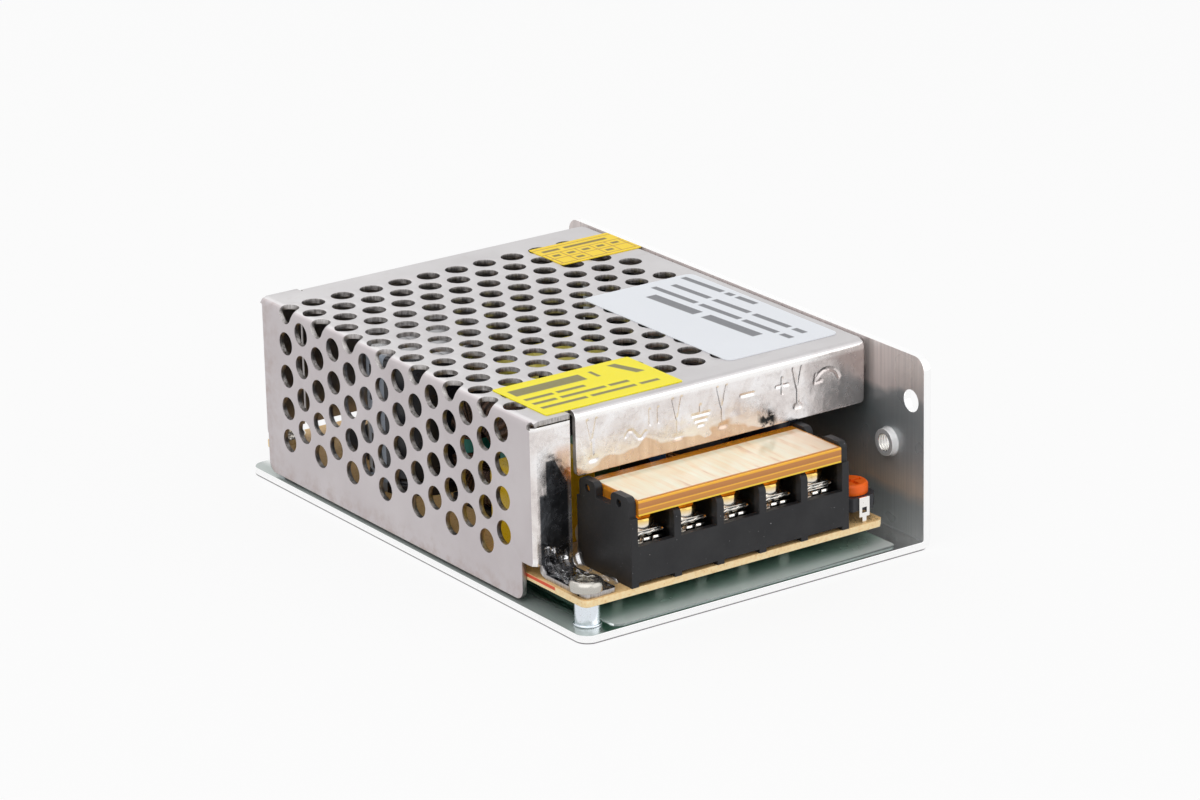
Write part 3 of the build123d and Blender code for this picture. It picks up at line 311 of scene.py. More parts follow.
studio_world()
studio_floor()
studio_lamps()


# Case cover: one flat sheet with its perforation, folded along its bends. Millimetres; on the
# flat sheet s runs up the side and on across the top, and v runs along Y
SHEET = 0.7
C_LEFT, C_RIGHT, C_TOP, C_BOTTOM = -28.7, 27.95, 27.7, 1.65
C_FRONT, C_REAR = -30.4, 38.5
R_SIDE, R_BEND = 1.3, 0.9
ARC_SIDE, ARC_BEND = R_SIDE * math.pi / 2, R_BEND * math.pi / 2
S_BEND = C_TOP - R_SIDE - C_BOTTOM
S_TOP = S_BEND + ARC_SIDE
S_RIGHT = S_TOP + (C_RIGHT - R_BEND) - (C_LEFT + R_SIDE)
S_FLANGE = S_RIGHT + ARC_BEND
S_END = S_FLANGE + 3.3
V_FRONT, V_REAR = C_FRONT + R_BEND, C_REAR - R_BEND
# Front and rear flaps, the return flanges beside them and the slots between
NOTCH_Z, RETURN_TOP_Z = 7.3, 26.8
RETURN_RIGHT, FLAP_LEFT, REAR_FLAP_LEFT, FLAP_RIGHT = -22.4, -21.5, -22.1, 27.05
SLOT_DEPTH, REAR_SLOT_DEPTH, FLAP_CORNER = 1.6, 1.3, 0.6
FLAP_BOTTOM_Z = 18.6
FLAP_END_V = V_FRONT - ARC_BEND - (C_TOP - R_BEND - FLAP_BOTTOM_Z)
S_NOTCH, S_RETURN = NOTCH_Z - C_BOTTOM, RETURN_TOP_Z - C_BOTTOM
LOW_SETBACK, LOW_CORNER, FLANGE_SETBACK, TOP_START = 2.9, 1.5, 1.2, 1.2
RELIEF_START, RELIEF_INSET, RELIEF_RADIUS, REAR_RELIEF = 0.5, 0.35, 0.62, 0.1
# Foot tab
TAB_LEFT, TAB_RIGHT, TAB_FRONT, TAB_TOP_Z = -27.3, -22.4, -40.5, 6.2
TAB_BEND, TAB_CORNER = 0.9, 0.5
TAB_DROP, TAB_ARC = NOTCH_Z - TAB_TOP_Z - TAB_BEND, TAB_BEND * math.pi / 2
TAB_SCREW_X, TAB_SCREW_Y, TAB_SLOT = -25.85, -38.5, (1.75, 1.45)
# Perforation and screw holes, by their radius
HOLE, BEND_HOLE, PITCH, ROWS = 1.7, 1.98, 4.885, 14
HOLES_ACROSS, HOLES_DOWN, REAR_ROW_INSET, SIDE_INSET = 10, 4, 6.85, 0.35
WALL_SCREWS_Y, WALL_SCREW_INSET, WALL_SCREW_HOLE = (-20.4, 20.25), 2.1, 0.97
# Mesh steps
STRIPS, AROUND, OUTLINE_STEP, BEND_STEP, FLAP_STEP = 6, 36, 0.8, 0.5, 0.17
HOLE_MARGIN, HOLE_SLACK, TOUCH, SNAP = 0.12, 0.004, 0.001, 1e-5
# Stamped marks on the front flap: pins, then strokes by the x and z of their ends and half width
MARK_DEPTH, PIN_MARKS_X = 0.16, (-18.75, -4.75, 2.75, 15.6)
BARS = ((-9.3, 25.4, -9.3, 23.3, 0.26), (-7.9, 25.4, -7.9, 23.3, 0.26))
GROUND = (
    (-0.9, 24.2, -0.9, 22.9, 0.26), (-2.3, 22.9, 0.5, 22.9, 0.26),
    (-1.8, 22.1, 0.0, 22.1, 0.26), (-1.3, 21.4, -0.5, 21.4, 0.26),
)
MINUS = ((5.9, 24.0, 8.0, 24.0, 0.28),)
PLUS = ((11.9, 24.0, 14.0, 24.0, 0.28), (12.95, 25.1, 12.95, 22.9, 0.28))
# Where the polished end of the sheet stops, and the order of its materials
POLISHED_DEPTH, POLISHED_TOP_Z = 0.45, 27.3
PLAIN, POLISHED, ON_TAB, EDGES = range(4)
# Rounding of sharp edges: width in millimetres, and the least angle between faces in degrees
COVER_RIM, COVER_ANGLE, PART_ANGLE = 0.07, 50, 40
# Vertices this near are one, in metres, and faces this level are one, in degrees
WELD, COVER_WELD, LEVEL = 2e-6, 1e-7, 1.0


def s_of_z(z):
    return z - C_BOTTOM


def s_of_x(x):
    return S_TOP + x - (C_LEFT + R_SIDE)


def reach(x):
    """How far a return flange at x goes on past its bend's start."""
    return x - C_LEFT - R_BEND + ARC_BEND


def fold_main(s, v):
    """A point of the side, top or right flange."""
    if s <= S_BEND:
        return Vector((C_LEFT, v, C_BOTTOM + s))
    if s <= S_TOP:
        a = (s - S_BEND) / R_SIDE
        return Vector((C_LEFT + R_SIDE * (1 - math.cos(a)), v, C_TOP - R_SIDE * (1 - math.sin(a))))
    if s <= S_RIGHT:
        return Vector((C_LEFT + R_SIDE + s - S_TOP, v, C_TOP))
    if s <= S_FLANGE:
        a = (s - S_RIGHT) / R_BEND
        return Vector((C_RIGHT - R_BEND * (1 - math.sin(a)), v, C_TOP - R_BEND * (1 - math.cos(a))))
    return Vector((C_RIGHT, v, C_TOP - R_BEND - (s - S_FLANGE)))


def fold_end(t, end, inward):
    """A flap's point, t past its bend's start: its Y, and how far it has gone down."""
    if t <= ARC_BEND:
        a = t / R_BEND
        return end + inward * R_BEND * (1 - math.sin(a)), R_BEND * (1 - math.cos(a))
    return end, R_BEND + t - ARC_BEND


def fold_tab(q):
    """The foot tab's point q below the return flange: a small bend forward, then flat."""
    if q <= TAB_DROP:
        return C_FRONT, NOTCH_Z - q
    if q <= TAB_DROP + TAB_ARC:
        a = (q - TAB_DROP) / TAB_BEND
        return C_FRONT - TAB_BEND * (1 - math.cos(a)), TAB_TOP_Z + TAB_BEND * (1 - math.sin(a))
    return C_FRONT - TAB_BEND - (q - TAB_DROP - TAB_ARC), TAB_TOP_Z


def fold(s, v):
    """Where a point of the flat sheet lies on the case."""
    for end, inward, left in ((C_FRONT, 1, FLAP_LEFT), (C_REAR, -1, REAR_FLAP_LEFT)):
        t = (end + inward * R_BEND - v) * inward
        if t <= 0:
            continue
        if s >= s_of_x(left) - TOUCH:
            y, down = fold_end(t, end, inward)
            return Vector((C_LEFT + R_SIDE + s - S_TOP, y, C_TOP - down))
        if s > S_RETURN + TOUCH:
            return fold_main(s, v)
        y, across = fold_end(t, end, inward)
        if s >= S_NOTCH - TOUCH:
            return Vector((C_LEFT + across, y, C_BOTTOM + s))
        tab_y, tab_z = fold_tab(S_NOTCH - s)
        return Vector((C_LEFT + across, tab_y, tab_z))
    return fold_main(s, v)


def corner(points, centre, radius, start, turn, steps=6):
    """Adds a rounded corner's points, from angle start through turn degrees."""
    for i in range(steps + 1):
        a = math.radians(start + turn * i / steps)
        points.append((centre[0] + radius * math.cos(a), centre[1] + radius * math.sin(a)))


def cover_outline():
    """The flat sheet's outline, from the side's lower front corner round to the rear."""
    p = []
    # Side, foot tab and front return flange
    tab_near, tab_far = V_FRONT - reach(TAB_RIGHT), V_FRONT - reach(TAB_LEFT)
    tab_end = S_NOTCH - (TAB_DROP + TAB_ARC + (C_FRONT - TAB_BEND - TAB_FRONT)) + TAB_CORNER
    corner(p, (LOW_CORNER, C_FRONT + LOW_SETBACK + LOW_CORNER), LOW_CORNER, 180, 90)
    p += [(S_NOTCH, C_FRONT + LOW_SETBACK), (S_NOTCH, tab_far)]
    corner(p, (tab_end, tab_far - TAB_CORNER), TAB_CORNER, 90, 90)
    corner(p, (tab_end, tab_near + TAB_CORNER), TAB_CORNER, 180, 90)
    front_return = V_FRONT - reach(RETURN_RIGHT)
    p += [(S_NOTCH, front_return), (S_RETURN, front_return), (S_RETURN, V_FRONT - RELIEF_START)]
    corner(p, (S_RETURN + RELIEF_INSET, V_FRONT - RELIEF_INSET), RELIEF_RADIUS, 205, -190, 10)
    # Front slot and flap, then the right flange
    s_slot, s_left, s_deep = s_of_x(RETURN_RIGHT), s_of_x(FLAP_LEFT), s_of_x(REAR_FLAP_LEFT)
    s_flap, r = s_of_x(FLAP_RIGHT), FLAP_CORNER
    front_slot, rear_slot = C_FRONT + SLOT_DEPTH, C_REAR - REAR_SLOT_DEPTH
    p += [(S_BEND + TOP_START, C_FRONT), (s_slot, C_FRONT), (s_slot, front_slot)]
    p += [(s_left, front_slot), (s_left, V_FRONT), (s_left, FLAP_END_V + r)]
    corner(p, (s_left + r, FLAP_END_V + r), r, 180, 90)
    corner(p, (s_flap - r, FLAP_END_V + r), r, 270, 90)
    flange_front, flange_rear = C_FRONT + FLANGE_SETBACK, C_REAR - FLANGE_SETBACK
    p += [(s_flap, V_FRONT), (s_flap, flange_front), (S_END, flange_front)]
    p += [(S_END, flange_rear), (s_flap, flange_rear), (s_flap, V_REAR)]
    # Rear flap, slot and return flange
    deep = V_REAR + ARC_BEND + (C_TOP - R_BEND - NOTCH_Z)
    corner(p, (s_flap - r, deep - r), r, 0, 90)
    corner(p, (s_deep + r, deep - r), r, 90, 90)
    p += [(s_deep, V_REAR), (s_deep, rear_slot), (s_slot, rear_slot), (s_slot, C_REAR)]
    flat_rear, s_relief = V_REAR + (ARC_BEND - R_BEND), S_RETURN + REAR_RELIEF
    rear_return = V_REAR + reach(RETURN_RIGHT)
    p += [(S_BEND + TOP_START, C_REAR), (s_relief, C_REAR), (s_relief, flat_rear)]
    p += [(S_RETURN, flat_rear), (S_RETURN, rear_return), (S_NOTCH, rear_return), (S_NOTCH, V_REAR)]
    corner(p, (LOW_CORNER, V_REAR - LOW_CORNER), LOW_CORNER, 90, 90)
    return p


def cover_holes():
    """Every opening of the flat sheet: centre s, centre v, half sizes in s and v."""
    holes = []
    row_pitch = PITCH * math.sin(math.radians(60))
    for row in range(ROWS):
        v = C_REAR - REAR_ROW_INSET - row * row_pitch
        even = row % 2 == 0
        shift = 0.0 if even else 0.5
        for i in range(HOLES_ACROSS if even else HOLES_ACROSS + 1):
            holes.append((s_of_x(C_LEFT + (i + 1 - shift) * PITCH), v, HOLE, HOLE))
        for i in range(HOLES_DOWN):
            holes.append((s_of_z(C_TOP - SIDE_INSET - (i + 1 - shift) * PITCH), v, HOLE, HOLE))
        if even:
            holes.append(((S_BEND + S_TOP) / 2, v, BEND_HOLE, HOLE))
    for y in WALL_SCREWS_Y:
        holes.append((S_END - WALL_SCREW_INSET, y, WALL_SCREW_HOLE, WALL_SCREW_HOLE))
    screw_q = TAB_DROP + TAB_ARC + (C_FRONT - TAB_BEND - TAB_SCREW_Y)
    holes.append((S_NOTCH - screw_q, V_FRONT - reach(TAB_SCREW_X), *TAB_SLOT))
    return holes


def within(outline, points):
    """Which of the points lie inside a polygon, as an array of true and false."""
    x, y = points[:, 0], points[:, 1]
    odd = np.zeros(len(points), bool)
    for (ax, ay), (bx, by) in zip(outline, outline[1:] + outline[:1]):
        if ay == by:
            continue
        crosses = (ay > y) != (by > y)
        odd ^= crosses & (x < (bx - ax) * (y - ay) / (by - ay) + ax)
    return odd


def in_holes(holes, points, margin):
    """Which of the points lie in a hole grown by margin."""
    hit = np.zeros(len(points), bool)
    for hs, hv, a, b in holes:
        across = (points[:, 0] - hs) / (a + margin)
        along = (points[:, 1] - hv) / (b + margin)
        hit |= across ** 2 + along ** 2 < 1
    return hit


def dense(points, step):
    """A closed outline with points no further apart than step."""
    out = []
    for a, b in zip(points, points[1:] + points[:1]):
        n = max(1, math.ceil(math.dist(a, b) / step))
        out += [(a[0] + (b[0] - a[0]) * i / n, a[1] + (b[1] - a[1]) * i / n) for i in range(n)]
    return out


def bend_points():
    """Points along the lines that divide each bend into strips."""
    lines = []
    for start, arc, inset in ((S_BEND, ARC_SIDE, 0.0), (S_RIGHT, ARC_BEND, FLANGE_SETBACK)):
        low, high = C_FRONT + inset, C_REAR - inset
        lines += [("v", start + arc * i / STRIPS, low, high) for i in range(STRIPS + 1)]
    for v, way, left in ((V_FRONT, -1, FLAP_LEFT), (V_REAR, 1, REAR_FLAP_LEFT)):
        for i in range(STRIPS + 1):
            bend = v + way * ARC_BEND * i / STRIPS
            lines += [("s", bend, S_NOTCH, S_RETURN), ("s", bend, s_of_x(left), s_of_x(FLAP_RIGHT))]
    low, high = V_FRONT - reach(TAB_RIGHT), V_FRONT - reach(TAB_LEFT)
    lines += [("v", S_NOTCH - TAB_DROP - TAB_ARC * i / STRIPS, low, high) for i in range(STRIPS + 1)]
    points = []
    for way, place, low, high in lines:
        n = max(2, round((high - low) / BEND_STEP))
        for i in range(1, n):
            along = low + (high - low) * i / n
            points.append((place, along) if way == "v" else (along, place))
    return points


def flap_points():
    """A fine grid over the front flap, for its embossed marks."""
    s_low, s_high = s_of_x(FLAP_LEFT), s_of_x(FLAP_RIGHT)
    points = []
    for i in range(1, int((s_high - s_low) / FLAP_STEP)):
        for j in range(1, int((V_FRONT - ARC_BEND - FLAP_END_V) / FLAP_STEP)):
            stagger = 0.5 * FLAP_STEP if j % 2 else 0.0
            points.append((s_low + i * FLAP_STEP + stagger, FLAP_END_V + j * FLAP_STEP))
    return points


def cover_sheet():
    """The flat sheet's outer face, as points (s, v) and triangles."""
    outline = dense(cover_outline(), OUTLINE_STEP)
    holes = cover_holes()
    points = list(outline)
    edges = [(i, (i + 1) % len(outline)) for i in range(len(outline))]
    for hs, hv, a, b in holes:
        first = len(points)
        for i in range(AROUND):
            angle = 2 * math.pi * i / AROUND
            points.append((hs + a * math.cos(angle), hv + b * math.sin(angle)))
            edges.append((first + i, first + (i + 1) % AROUND))
    extra = np.array(bend_points() + flap_points())
    extra = extra[within(outline, extra) & ~in_holes(holes, extra, HOLE_MARGIN)]
    flat = [Vector(p) for p in points + extra.tolist()]
    verts, _, faces, _, _, _ = delaunay_2d_cdt(flat, edges, [], 0, SNAP)
    places = np.array([tuple(p) for p in verts])
    faces = np.array(faces)
    middles = places[faces].mean(axis=1)
    faces = faces[within(outline, middles) & ~in_holes(holes, middles, -HOLE_SLACK)]
    return places.tolist(), faces.tolist()


def segment_distance(x, z, a, b):
    ax, az = a
    dx, dz = b[0] - ax, b[1] - az
    t = max(0.0, min(1.0, ((x - ax) * dx + (z - az) * dz) / (dx * dx + dz * dz)))
    return math.hypot(x - ax - t * dx, z - az - t * dz)


def flap_marks():
    """Stamped strokes on the front flap, as ends (x, z) and half width: pins between plain signs."""
    strokes = []
    for x in PIN_MARKS_X:
        strokes += [((x + way * 0.75, 26.0), (x + way * 0.12, 23.2), 0.3) for way in (-1, 1)]
        strokes += [((x, 23.4), (x, 20.9), 0.26), ((x - 0.35, 20.5), (x + 0.35, 20.5), 0.62)]
    wave = [(-13.4 + 0.55 * i, 22.4 + 0.75 * math.sin(i * 1.05)) for i in range(7)]
    strokes += [(a, b, 0.26) for a, b in zip(wave, wave[1:])]
    for x0, z0, x1, z1, width in BARS + GROUND + MINUS + PLUS:
        strokes.append(((x0, z0), (x1, z1), width))
    # Curved arrow over the trimmer
    turns = [math.radians(a) for a in range(20, 165, 18)]
    arc = [(20.6 + 2.2 * math.cos(a), 22.6 + 2.2 * math.sin(a)) for a in turns]
    strokes += [(a, b, 0.3) for a, b in zip(arc, arc[1:])]
    tip_x, tip_z = arc[-1]
    strokes += [((tip_x, tip_z), (tip_x + 0.2, tip_z + 1.1), 0.28)]
    strokes += [((tip_x, tip_z), (tip_x + 1.15, tip_z + 0.1), 0.28)]
    return strokes


def stamped(place, strokes):
    """How deep the marks press the flap in at a place."""
    depth = 0.0
    for a, b, width in strokes:
        if min(a[0], b[0]) - width < place.x < max(a[0], b[0]) + width:
            near = segment_distance(place.x, place.z, a, b) / width
            if near < 1:
                depth = max(depth, MARK_DEPTH * (1 - near * near) ** 2)
    return depth


def round_edges(shape, width, angle):
    """Rounds the sharp edges by width millimetres and keeps the flat faces flat."""
    rim = shape.modifiers.new("rim", "BEVEL")
    rim.width = width * MM
    rim.segments = 2
    rim.limit_method = "ANGLE"
    rim.angle_limit = math.radians(angle)
    even = shape.modifiers.new("even", "WEIGHTED_NORMAL")
    even.keep_sharp = True


def build_cover():
    """The folded sheet with its thickness."""
    flat, faces = cover_sheet()
    strokes = flap_marks()
    verts = []
    for s, v in flat:
        place = fold(s, v)
        if v < V_FRONT - ARC_BEND and s > s_of_x(FLAP_LEFT) - TOUCH:
            place.y += stamped(place, strokes)
        verts.append(place * MM)
    mesh = bpy.data.meshes.new("cover_sheet_metal")
    mesh.from_pydata(verts, [], faces)
    mesh.update()
    work = bmesh.new()
    work.from_mesh(mesh)
    bmesh.ops.remove_doubles(work, verts=work.verts, dist=COVER_WELD)
    bmesh.ops.recalc_face_normals(work, faces=work.faces)
    top = max(work.faces, key=lambda face: face.calc_center_median().z)
    if top.normal.z < 0:
        bmesh.ops.reverse_faces(work, faces=work.faces)
    for face in work.faces:
        centre = face.calc_center_median() / MM
        face.smooth = True
        face.material_index = PLAIN
        if centre.y < C_FRONT + POLISHED_DEPTH and centre.z < POLISHED_TOP_Z:
            face.material_index = ON_TAB if centre.z < NOTCH_Z else POLISHED
    work.to_mesh(mesh)
    work.free()
    shape = placed("cover_sheet_metal", mesh)
    thick = shape.modifiers.new("thick", "SOLIDIFY")
    thick.thickness = SHEET * MM
    thick.offset = -1
    thick.material_offset_rim = EDGES
    thick.use_even_offset = True
    round_edges(shape, COVER_RIM, COVER_ANGLE)
    return shape


# Finishes; noise sizes, bump depths and spreads of coordinates are metres
HOLE_Y, HOLE_Z, COLLAR_RADIUS = -34.9, 13.9, 2.15


def shade(colour, share):
    return tuple(c * share for c in colour)


def cover_steel():
    """Brushed plated sheet with painted shade on the side, which is darker and warmer than the top,
    faint stains and a soft handling bloom.
    """
    f = Finish("cover_steel", (0.6, 0.58, 0.585), 0.3, 1.0)
    cloud = f.noise(0.012, 3, 0.6)
    stain = f.noise(0.0022, 4, 0.65)
    bloom = f.noise(0.02, 2, 0.5, distort=0.8)
    f.tone = f.ramp(cloud, (0.3, (0.555, 0.535, 0.54)), (0.72, (0.63, 0.615, 0.62)))
    # Painted shade: the side facing -X gets a darker, warmer tone than the top
    side = f.facing("X", -1)
    painted_warm_side = f.ramp(cloud, (0.3, (0.5, 0.455, 0.465)), (0.72, (0.585, 0.545, 0.555)))
    f.paint(side, painted_warm_side)
    f.stain(stain, (0.47, 0.42, 0.41), 0.4, 0.55, 0.85)
    f.stain(bloom, (0.66, 0.62, 0.62), 0.25, 0.55, 0.75)
    # Fingerprints and a warm bloom along the side's lower edge and at its rear corner
    _, y, z = f.axes()
    low = f.below(z, 3.4, 1.4)
    rear = f.above(y, 35.5, 2.5)
    smear = f.both(f.larger(low, rear), f.spread(stain, 0.0, 0.75, 0.42, 0.72))
    f.paint(f.both(smear, side), (0.4, 0.315, 0.29))
    grain = f.noise(0.00035, 2, 0.7, (1.0, 0.06, 1.0))
    rough = f.spread(cloud, 0.28, 0.42)
    return f.done(Roughness=rough, Normal=f.bump(grain, 0.000006, 0.6))


def flap_steel():
    """The same sheet polished at the terminal end: rippled, with a painted peach reflection of the amber
    lid low on the flap.
    """
    f = Finish("flap_steel", (0.6, 0.57, 0.56), 0.15, 1.0)
    x, _, z = f.axes()
    cloud = f.noise(0.005, 4, 0.6, distort=0.6)
    fine = f.noise(0.0011, 3, 0.7, distort=0.3)
    streak = f.noise(0.0009, 3, 0.6, (1.0, 1.0, 0.12))
    f.tone = f.ramp(
        cloud, (0.3, (0.66, 0.6, 0.585)), (0.46, (0.8, 0.75, 0.73)), (0.66, (0.92, 0.9, 0.9))
    )
    f.stain(fine, (0.47, 0.42, 0.41), 0.35, 0.52, 0.75)
    # The low glow, a painted reflection of the amber lid with a pale painted rim above it, has a wavy
    # upper edge that dies away towards the right
    wander = f.noise(0.0045, 1, 0.4, distort=0.6)
    level = f.ragged(z, wander, 1.6, 0.25, 0.75)
    level = f.plus(level, f.spread(x, 0.0, 0.003, 0.005, 0.013))
    low = f.below(level, 20.5, 0.22)
    glow = f.mix(f.spread(streak, 0.0, 1.0), (0.8, 0.6, 0.45), (0.64, 0.44, 0.31))
    on_flap = f.above(x, -21.6, 0.1)
    f.paint(f.both(low, on_flap), glow, 0.8)
    rim = f.both(f.between(level, 20.5, 21.0, 0.2), on_flap)
    f.paint(rim, (0.88, 0.85, 0.86), 0.7)
    # Dimmer patch at the right end, and one dark smudge on the lower edge
    dim = f.between(f.plus(x, f.both(z, 0.12)), 19.9, 32.0, 0.5)
    f.paint(dim, (0.56, 0.49, 0.47), 0.55)
    tilted = f.plus(f.ragged(z, fine, 0.6), f.both(x, 0.14))
    smudge = f.both(f.between(x, 8.9, 11.7, 0.4), f.between(tilted, 20.5, 21.7, 0.25))
    f.paint(smudge, (0.035, 0.04, 0.045))
    # Painted highlight along the crest of the bend
    crest_highlight = f.above(z, 26.35, 0.2)
    f.paint(crest_highlight, (1.0, 0.99, 0.98), 0.8)
    # Painted reflections over the corner flange: a peach patch, and a slate shape where the block shows
    # in it
    peach_reflection = f.both(f.between(x, -24.8, -22.4, 0.5), f.between(z, 15.0, 23.2, 0.6))
    f.paint(peach_reflection, (0.72, 0.5, 0.38), 0.7)
    bent = f.plus(z, f.spread(x, 0.0, 0.0034, -0.025, -0.0232))
    steps = f.both(f.between(x, -26.4, -22.95, 0.1), f.between(bent, 5.8, 21.8, 0.12))
    foot = f.both(f.between(x, -27.5, -22.95, 0.1), f.between(bent, 5.8, 17.2, 0.2))
    block_reflection = f.larger(steps, foot)
    f.paint(block_reflection, f.mix(cloud, (0.06, 0.063, 0.07), (0.12, 0.125, 0.135)))
    wave = f.bump(f.noise(0.0042, 2, 0.45, distort=0.5), 0.00022, 0.55)
    normal = f.bump(fine, 0.00003, 0.5, wave)
    return f.done(Roughness=f.spread(fine, 0.14, 0.32), Normal=normal)


def cut_edge():
    """The punched and sheared edges of the sheet: duller and darker than its faces."""
    f = Finish("cut_edge", (0.4, 0.38, 0.375), 0.36, 1.0)
    drag = f.noise(0.0003, 3, 0.7, (1.0, 1.0, 0.2))
    f.tone = f.ramp(drag, (0.35, (0.3, 0.28, 0.275)), (0.65, (0.56, 0.54, 0.53)))
    return f.done(Roughness=f.spread(drag, 0.28, 0.45))


def tab_steel():
    """Foot tab: mirror bright, wrinkled by its screw, with painted dark reflections in the wrinkles'
    hollows and painted glints on their ridges.
    """
    f = Finish("tab_steel", (0.62, 0.61, 0.62), 0.12, 1.0)
    crease = f.noise(0.0024, 2, 0.5, distort=0.7)
    # Painted dark reflections in the hollows of the wrinkles, painted glints on their ridges
    f.tone = f.ramp(
        crease, (0.38, (0.12, 0.12, 0.13)), (0.5, (0.55, 0.54, 0.55)), (0.66, (0.86, 0.86, 0.88))
    )
    return f.surface(crease, 0.08, 0.22, 0.00014, 0.6)


def aluminium():
    """Bare aluminium, brushed up the wall; the wall's inner face carries painted shade and reflections,
    slate with a tan band of the board low, paler towards the front.
    """
    f = Finish("base_aluminium", (0.8, 0.81, 0.82), 0.2, 1.0)
    x, y, z = f.axes()
    streak = f.noise(0.0004, 3, 0.7, (1.0, 1.0, 0.02))
    cloud = f.noise(0.008, 2, 0.5)
    broad = f.larger(f.facing("X", -1), f.facing("X", 1))
    broad = f.both(broad, f.above(z, 1.2))
    brushed = f.ramp(streak, (0.35, (0.62, 0.63, 0.64)), (0.65, (0.76, 0.77, 0.78)))
    f.tone = f.mix(broad, (0.98, 0.98, 0.98), brushed)
    # Painted shade and reflections on the wall's inner face, in bands by height: a tan band low where
    # the board shows in it, dark slate above, paler at the top
    height = f.ragged(z, cloud, 1.0)
    wall = f.ramp(
        f.spread(height, 0.0, 1.0, 0.001, 0.028),
        (0.0, (0.46, 0.48, 0.49)), (0.18, (0.34, 0.36, 0.37)), (0.24, (0.6, 0.46, 0.37)),
        (0.34, (0.42, 0.37, 0.34)), (0.46, (0.27, 0.29, 0.3)), (0.62, (0.19, 0.22, 0.23)),
        (0.735, (0.24, 0.26, 0.27)), (0.77, (0.68, 0.6, 0.58)), (1.0, (0.76, 0.68, 0.66)),
    )
    # Painted light: the wall turns paler towards its front end
    painted_light_front = f.spread(y, 1.0, 0.0, -0.0425, -0.03)
    wall = f.mix(f.both(painted_light_front, 0.35), wall, (0.66, 0.66, 0.67))
    wall = f.mix(f.spread(streak, 0.0, 0.3), wall, (0.2, 0.2, 0.21))
    inner = f.both(f.facing("X", -1), f.above(x, 20.0))
    # The collar and its edge stay bright
    out = f.distance(f.minus(y, HOLE_Y * MM), f.minus(z, HOLE_Z * MM))
    collar = f.maths("LESS_THAN", out, COLLAR_RADIUS * MM)
    inner = f.both(inner, f.minus(1.0, collar))
    f.paint(inner, wall)
    dull = f.larger(f.both(inner, 0.62), f.both(collar, 0.55))
    # Painted contact shadow: a dark line along the lower arris where it meets the table
    contact_shadow = f.below(z, 0.17, 0.06)
    f.paint(contact_shadow, (0.1, 0.085, 0.095), 0.95)
    dull = f.larger(dull, f.both(contact_shadow, 0.6))
    # The floor's left margin is matt and pale beside the film
    margin = f.below(f.ragged(x, cloud, 0.6), -26.2, 1.2)
    margin = f.both(margin, f.facing("Z", 1))
    f.paint(margin, (0.5, 0.55, 0.53))
    dull = f.larger(dull, f.both(margin, 0.65))
    metal = f.minus(1.0, dull)
    rough = f.plus(f.spread(cloud, 0.14, 0.24), f.both(inner, 0.12))
    rough = f.plus(rough, f.both(collar, 0.2))
    return f.done(Metallic=metal, Roughness=rough, Normal=f.bump(streak, 0.000006, 0.6))


def scrap_film():
    """Thin film, wrinkled: dark where it lies on the tab, with painted shade in its creases and painted
    glints on its folds.
    """
    f = Finish("scrap_film", (0.3, 0.3, 0.31), 0.08, 0.85, IOR=1.5)
    crease = f.noise(0.003, 1, 0.4, distort=0.9)
    # Painted shade in the hollows of the creases, painted glints on their ridges and along the fold
    # lines
    fold_glint = f.near(crease, 0.52, 0.011)
    f.tone = f.ramp(
        crease, (0.36, (0.05, 0.05, 0.055)), (0.5, (0.3, 0.3, 0.31)), (0.64, (0.75, 0.75, 0.77))
    )
    f.paint(fold_glint, (0.95, 0.95, 0.96))
    share = f.larger(f.spread(crease, 0.25, 0.65, 0.38, 0.62), fold_glint)
    return f.surface(crease, 0.06, 0.2, 0.0003, 0.9, Alpha=share)


def floor_film():
    """Grey-green film with painted shade and reflection of the board: dark under the board and paler
    towards the front.
    """
    f = Finish("floor_film", (0.55, 0.62, 0.58), 0.22, 0.35)
    x, y, _ = f.axes()
    cloud = f.noise(0.006, 3, 0.5)
    depth = f.ragged(y, cloud, 0.8)
    # Painted shade and reflection of the board, fading out towards the front
    f.tone = f.ramp(
        f.spread(depth, 0.0, 1.0, -0.0425, -0.034),
        (0.0, (0.97, 1.0, 0.98)), (0.34, (0.95, 1.0, 0.97)), (0.64, (0.55, 0.68, 0.61)),
        (1.0, (0.14, 0.24, 0.19)),
    )
    # Painted reflection of the table's edge: a grey wedge along the front edge, wider towards the right,
    # and a darker front face
    reach = f.spread(x, -0.0427, -0.0412, -0.02, 0.024)
    edge_reflection = f.spread(f.minus(y, reach), 1.0, 0.0, -0.0001, 0.0002)
    f.paint(edge_reflection, (0.34, 0.38, 0.37))
    f.paint(f.facing("Y", -1), (0.22, 0.26, 0.25))
    return f.surface(cloud, 0.16, 0.28, 0.00005, 0.25)


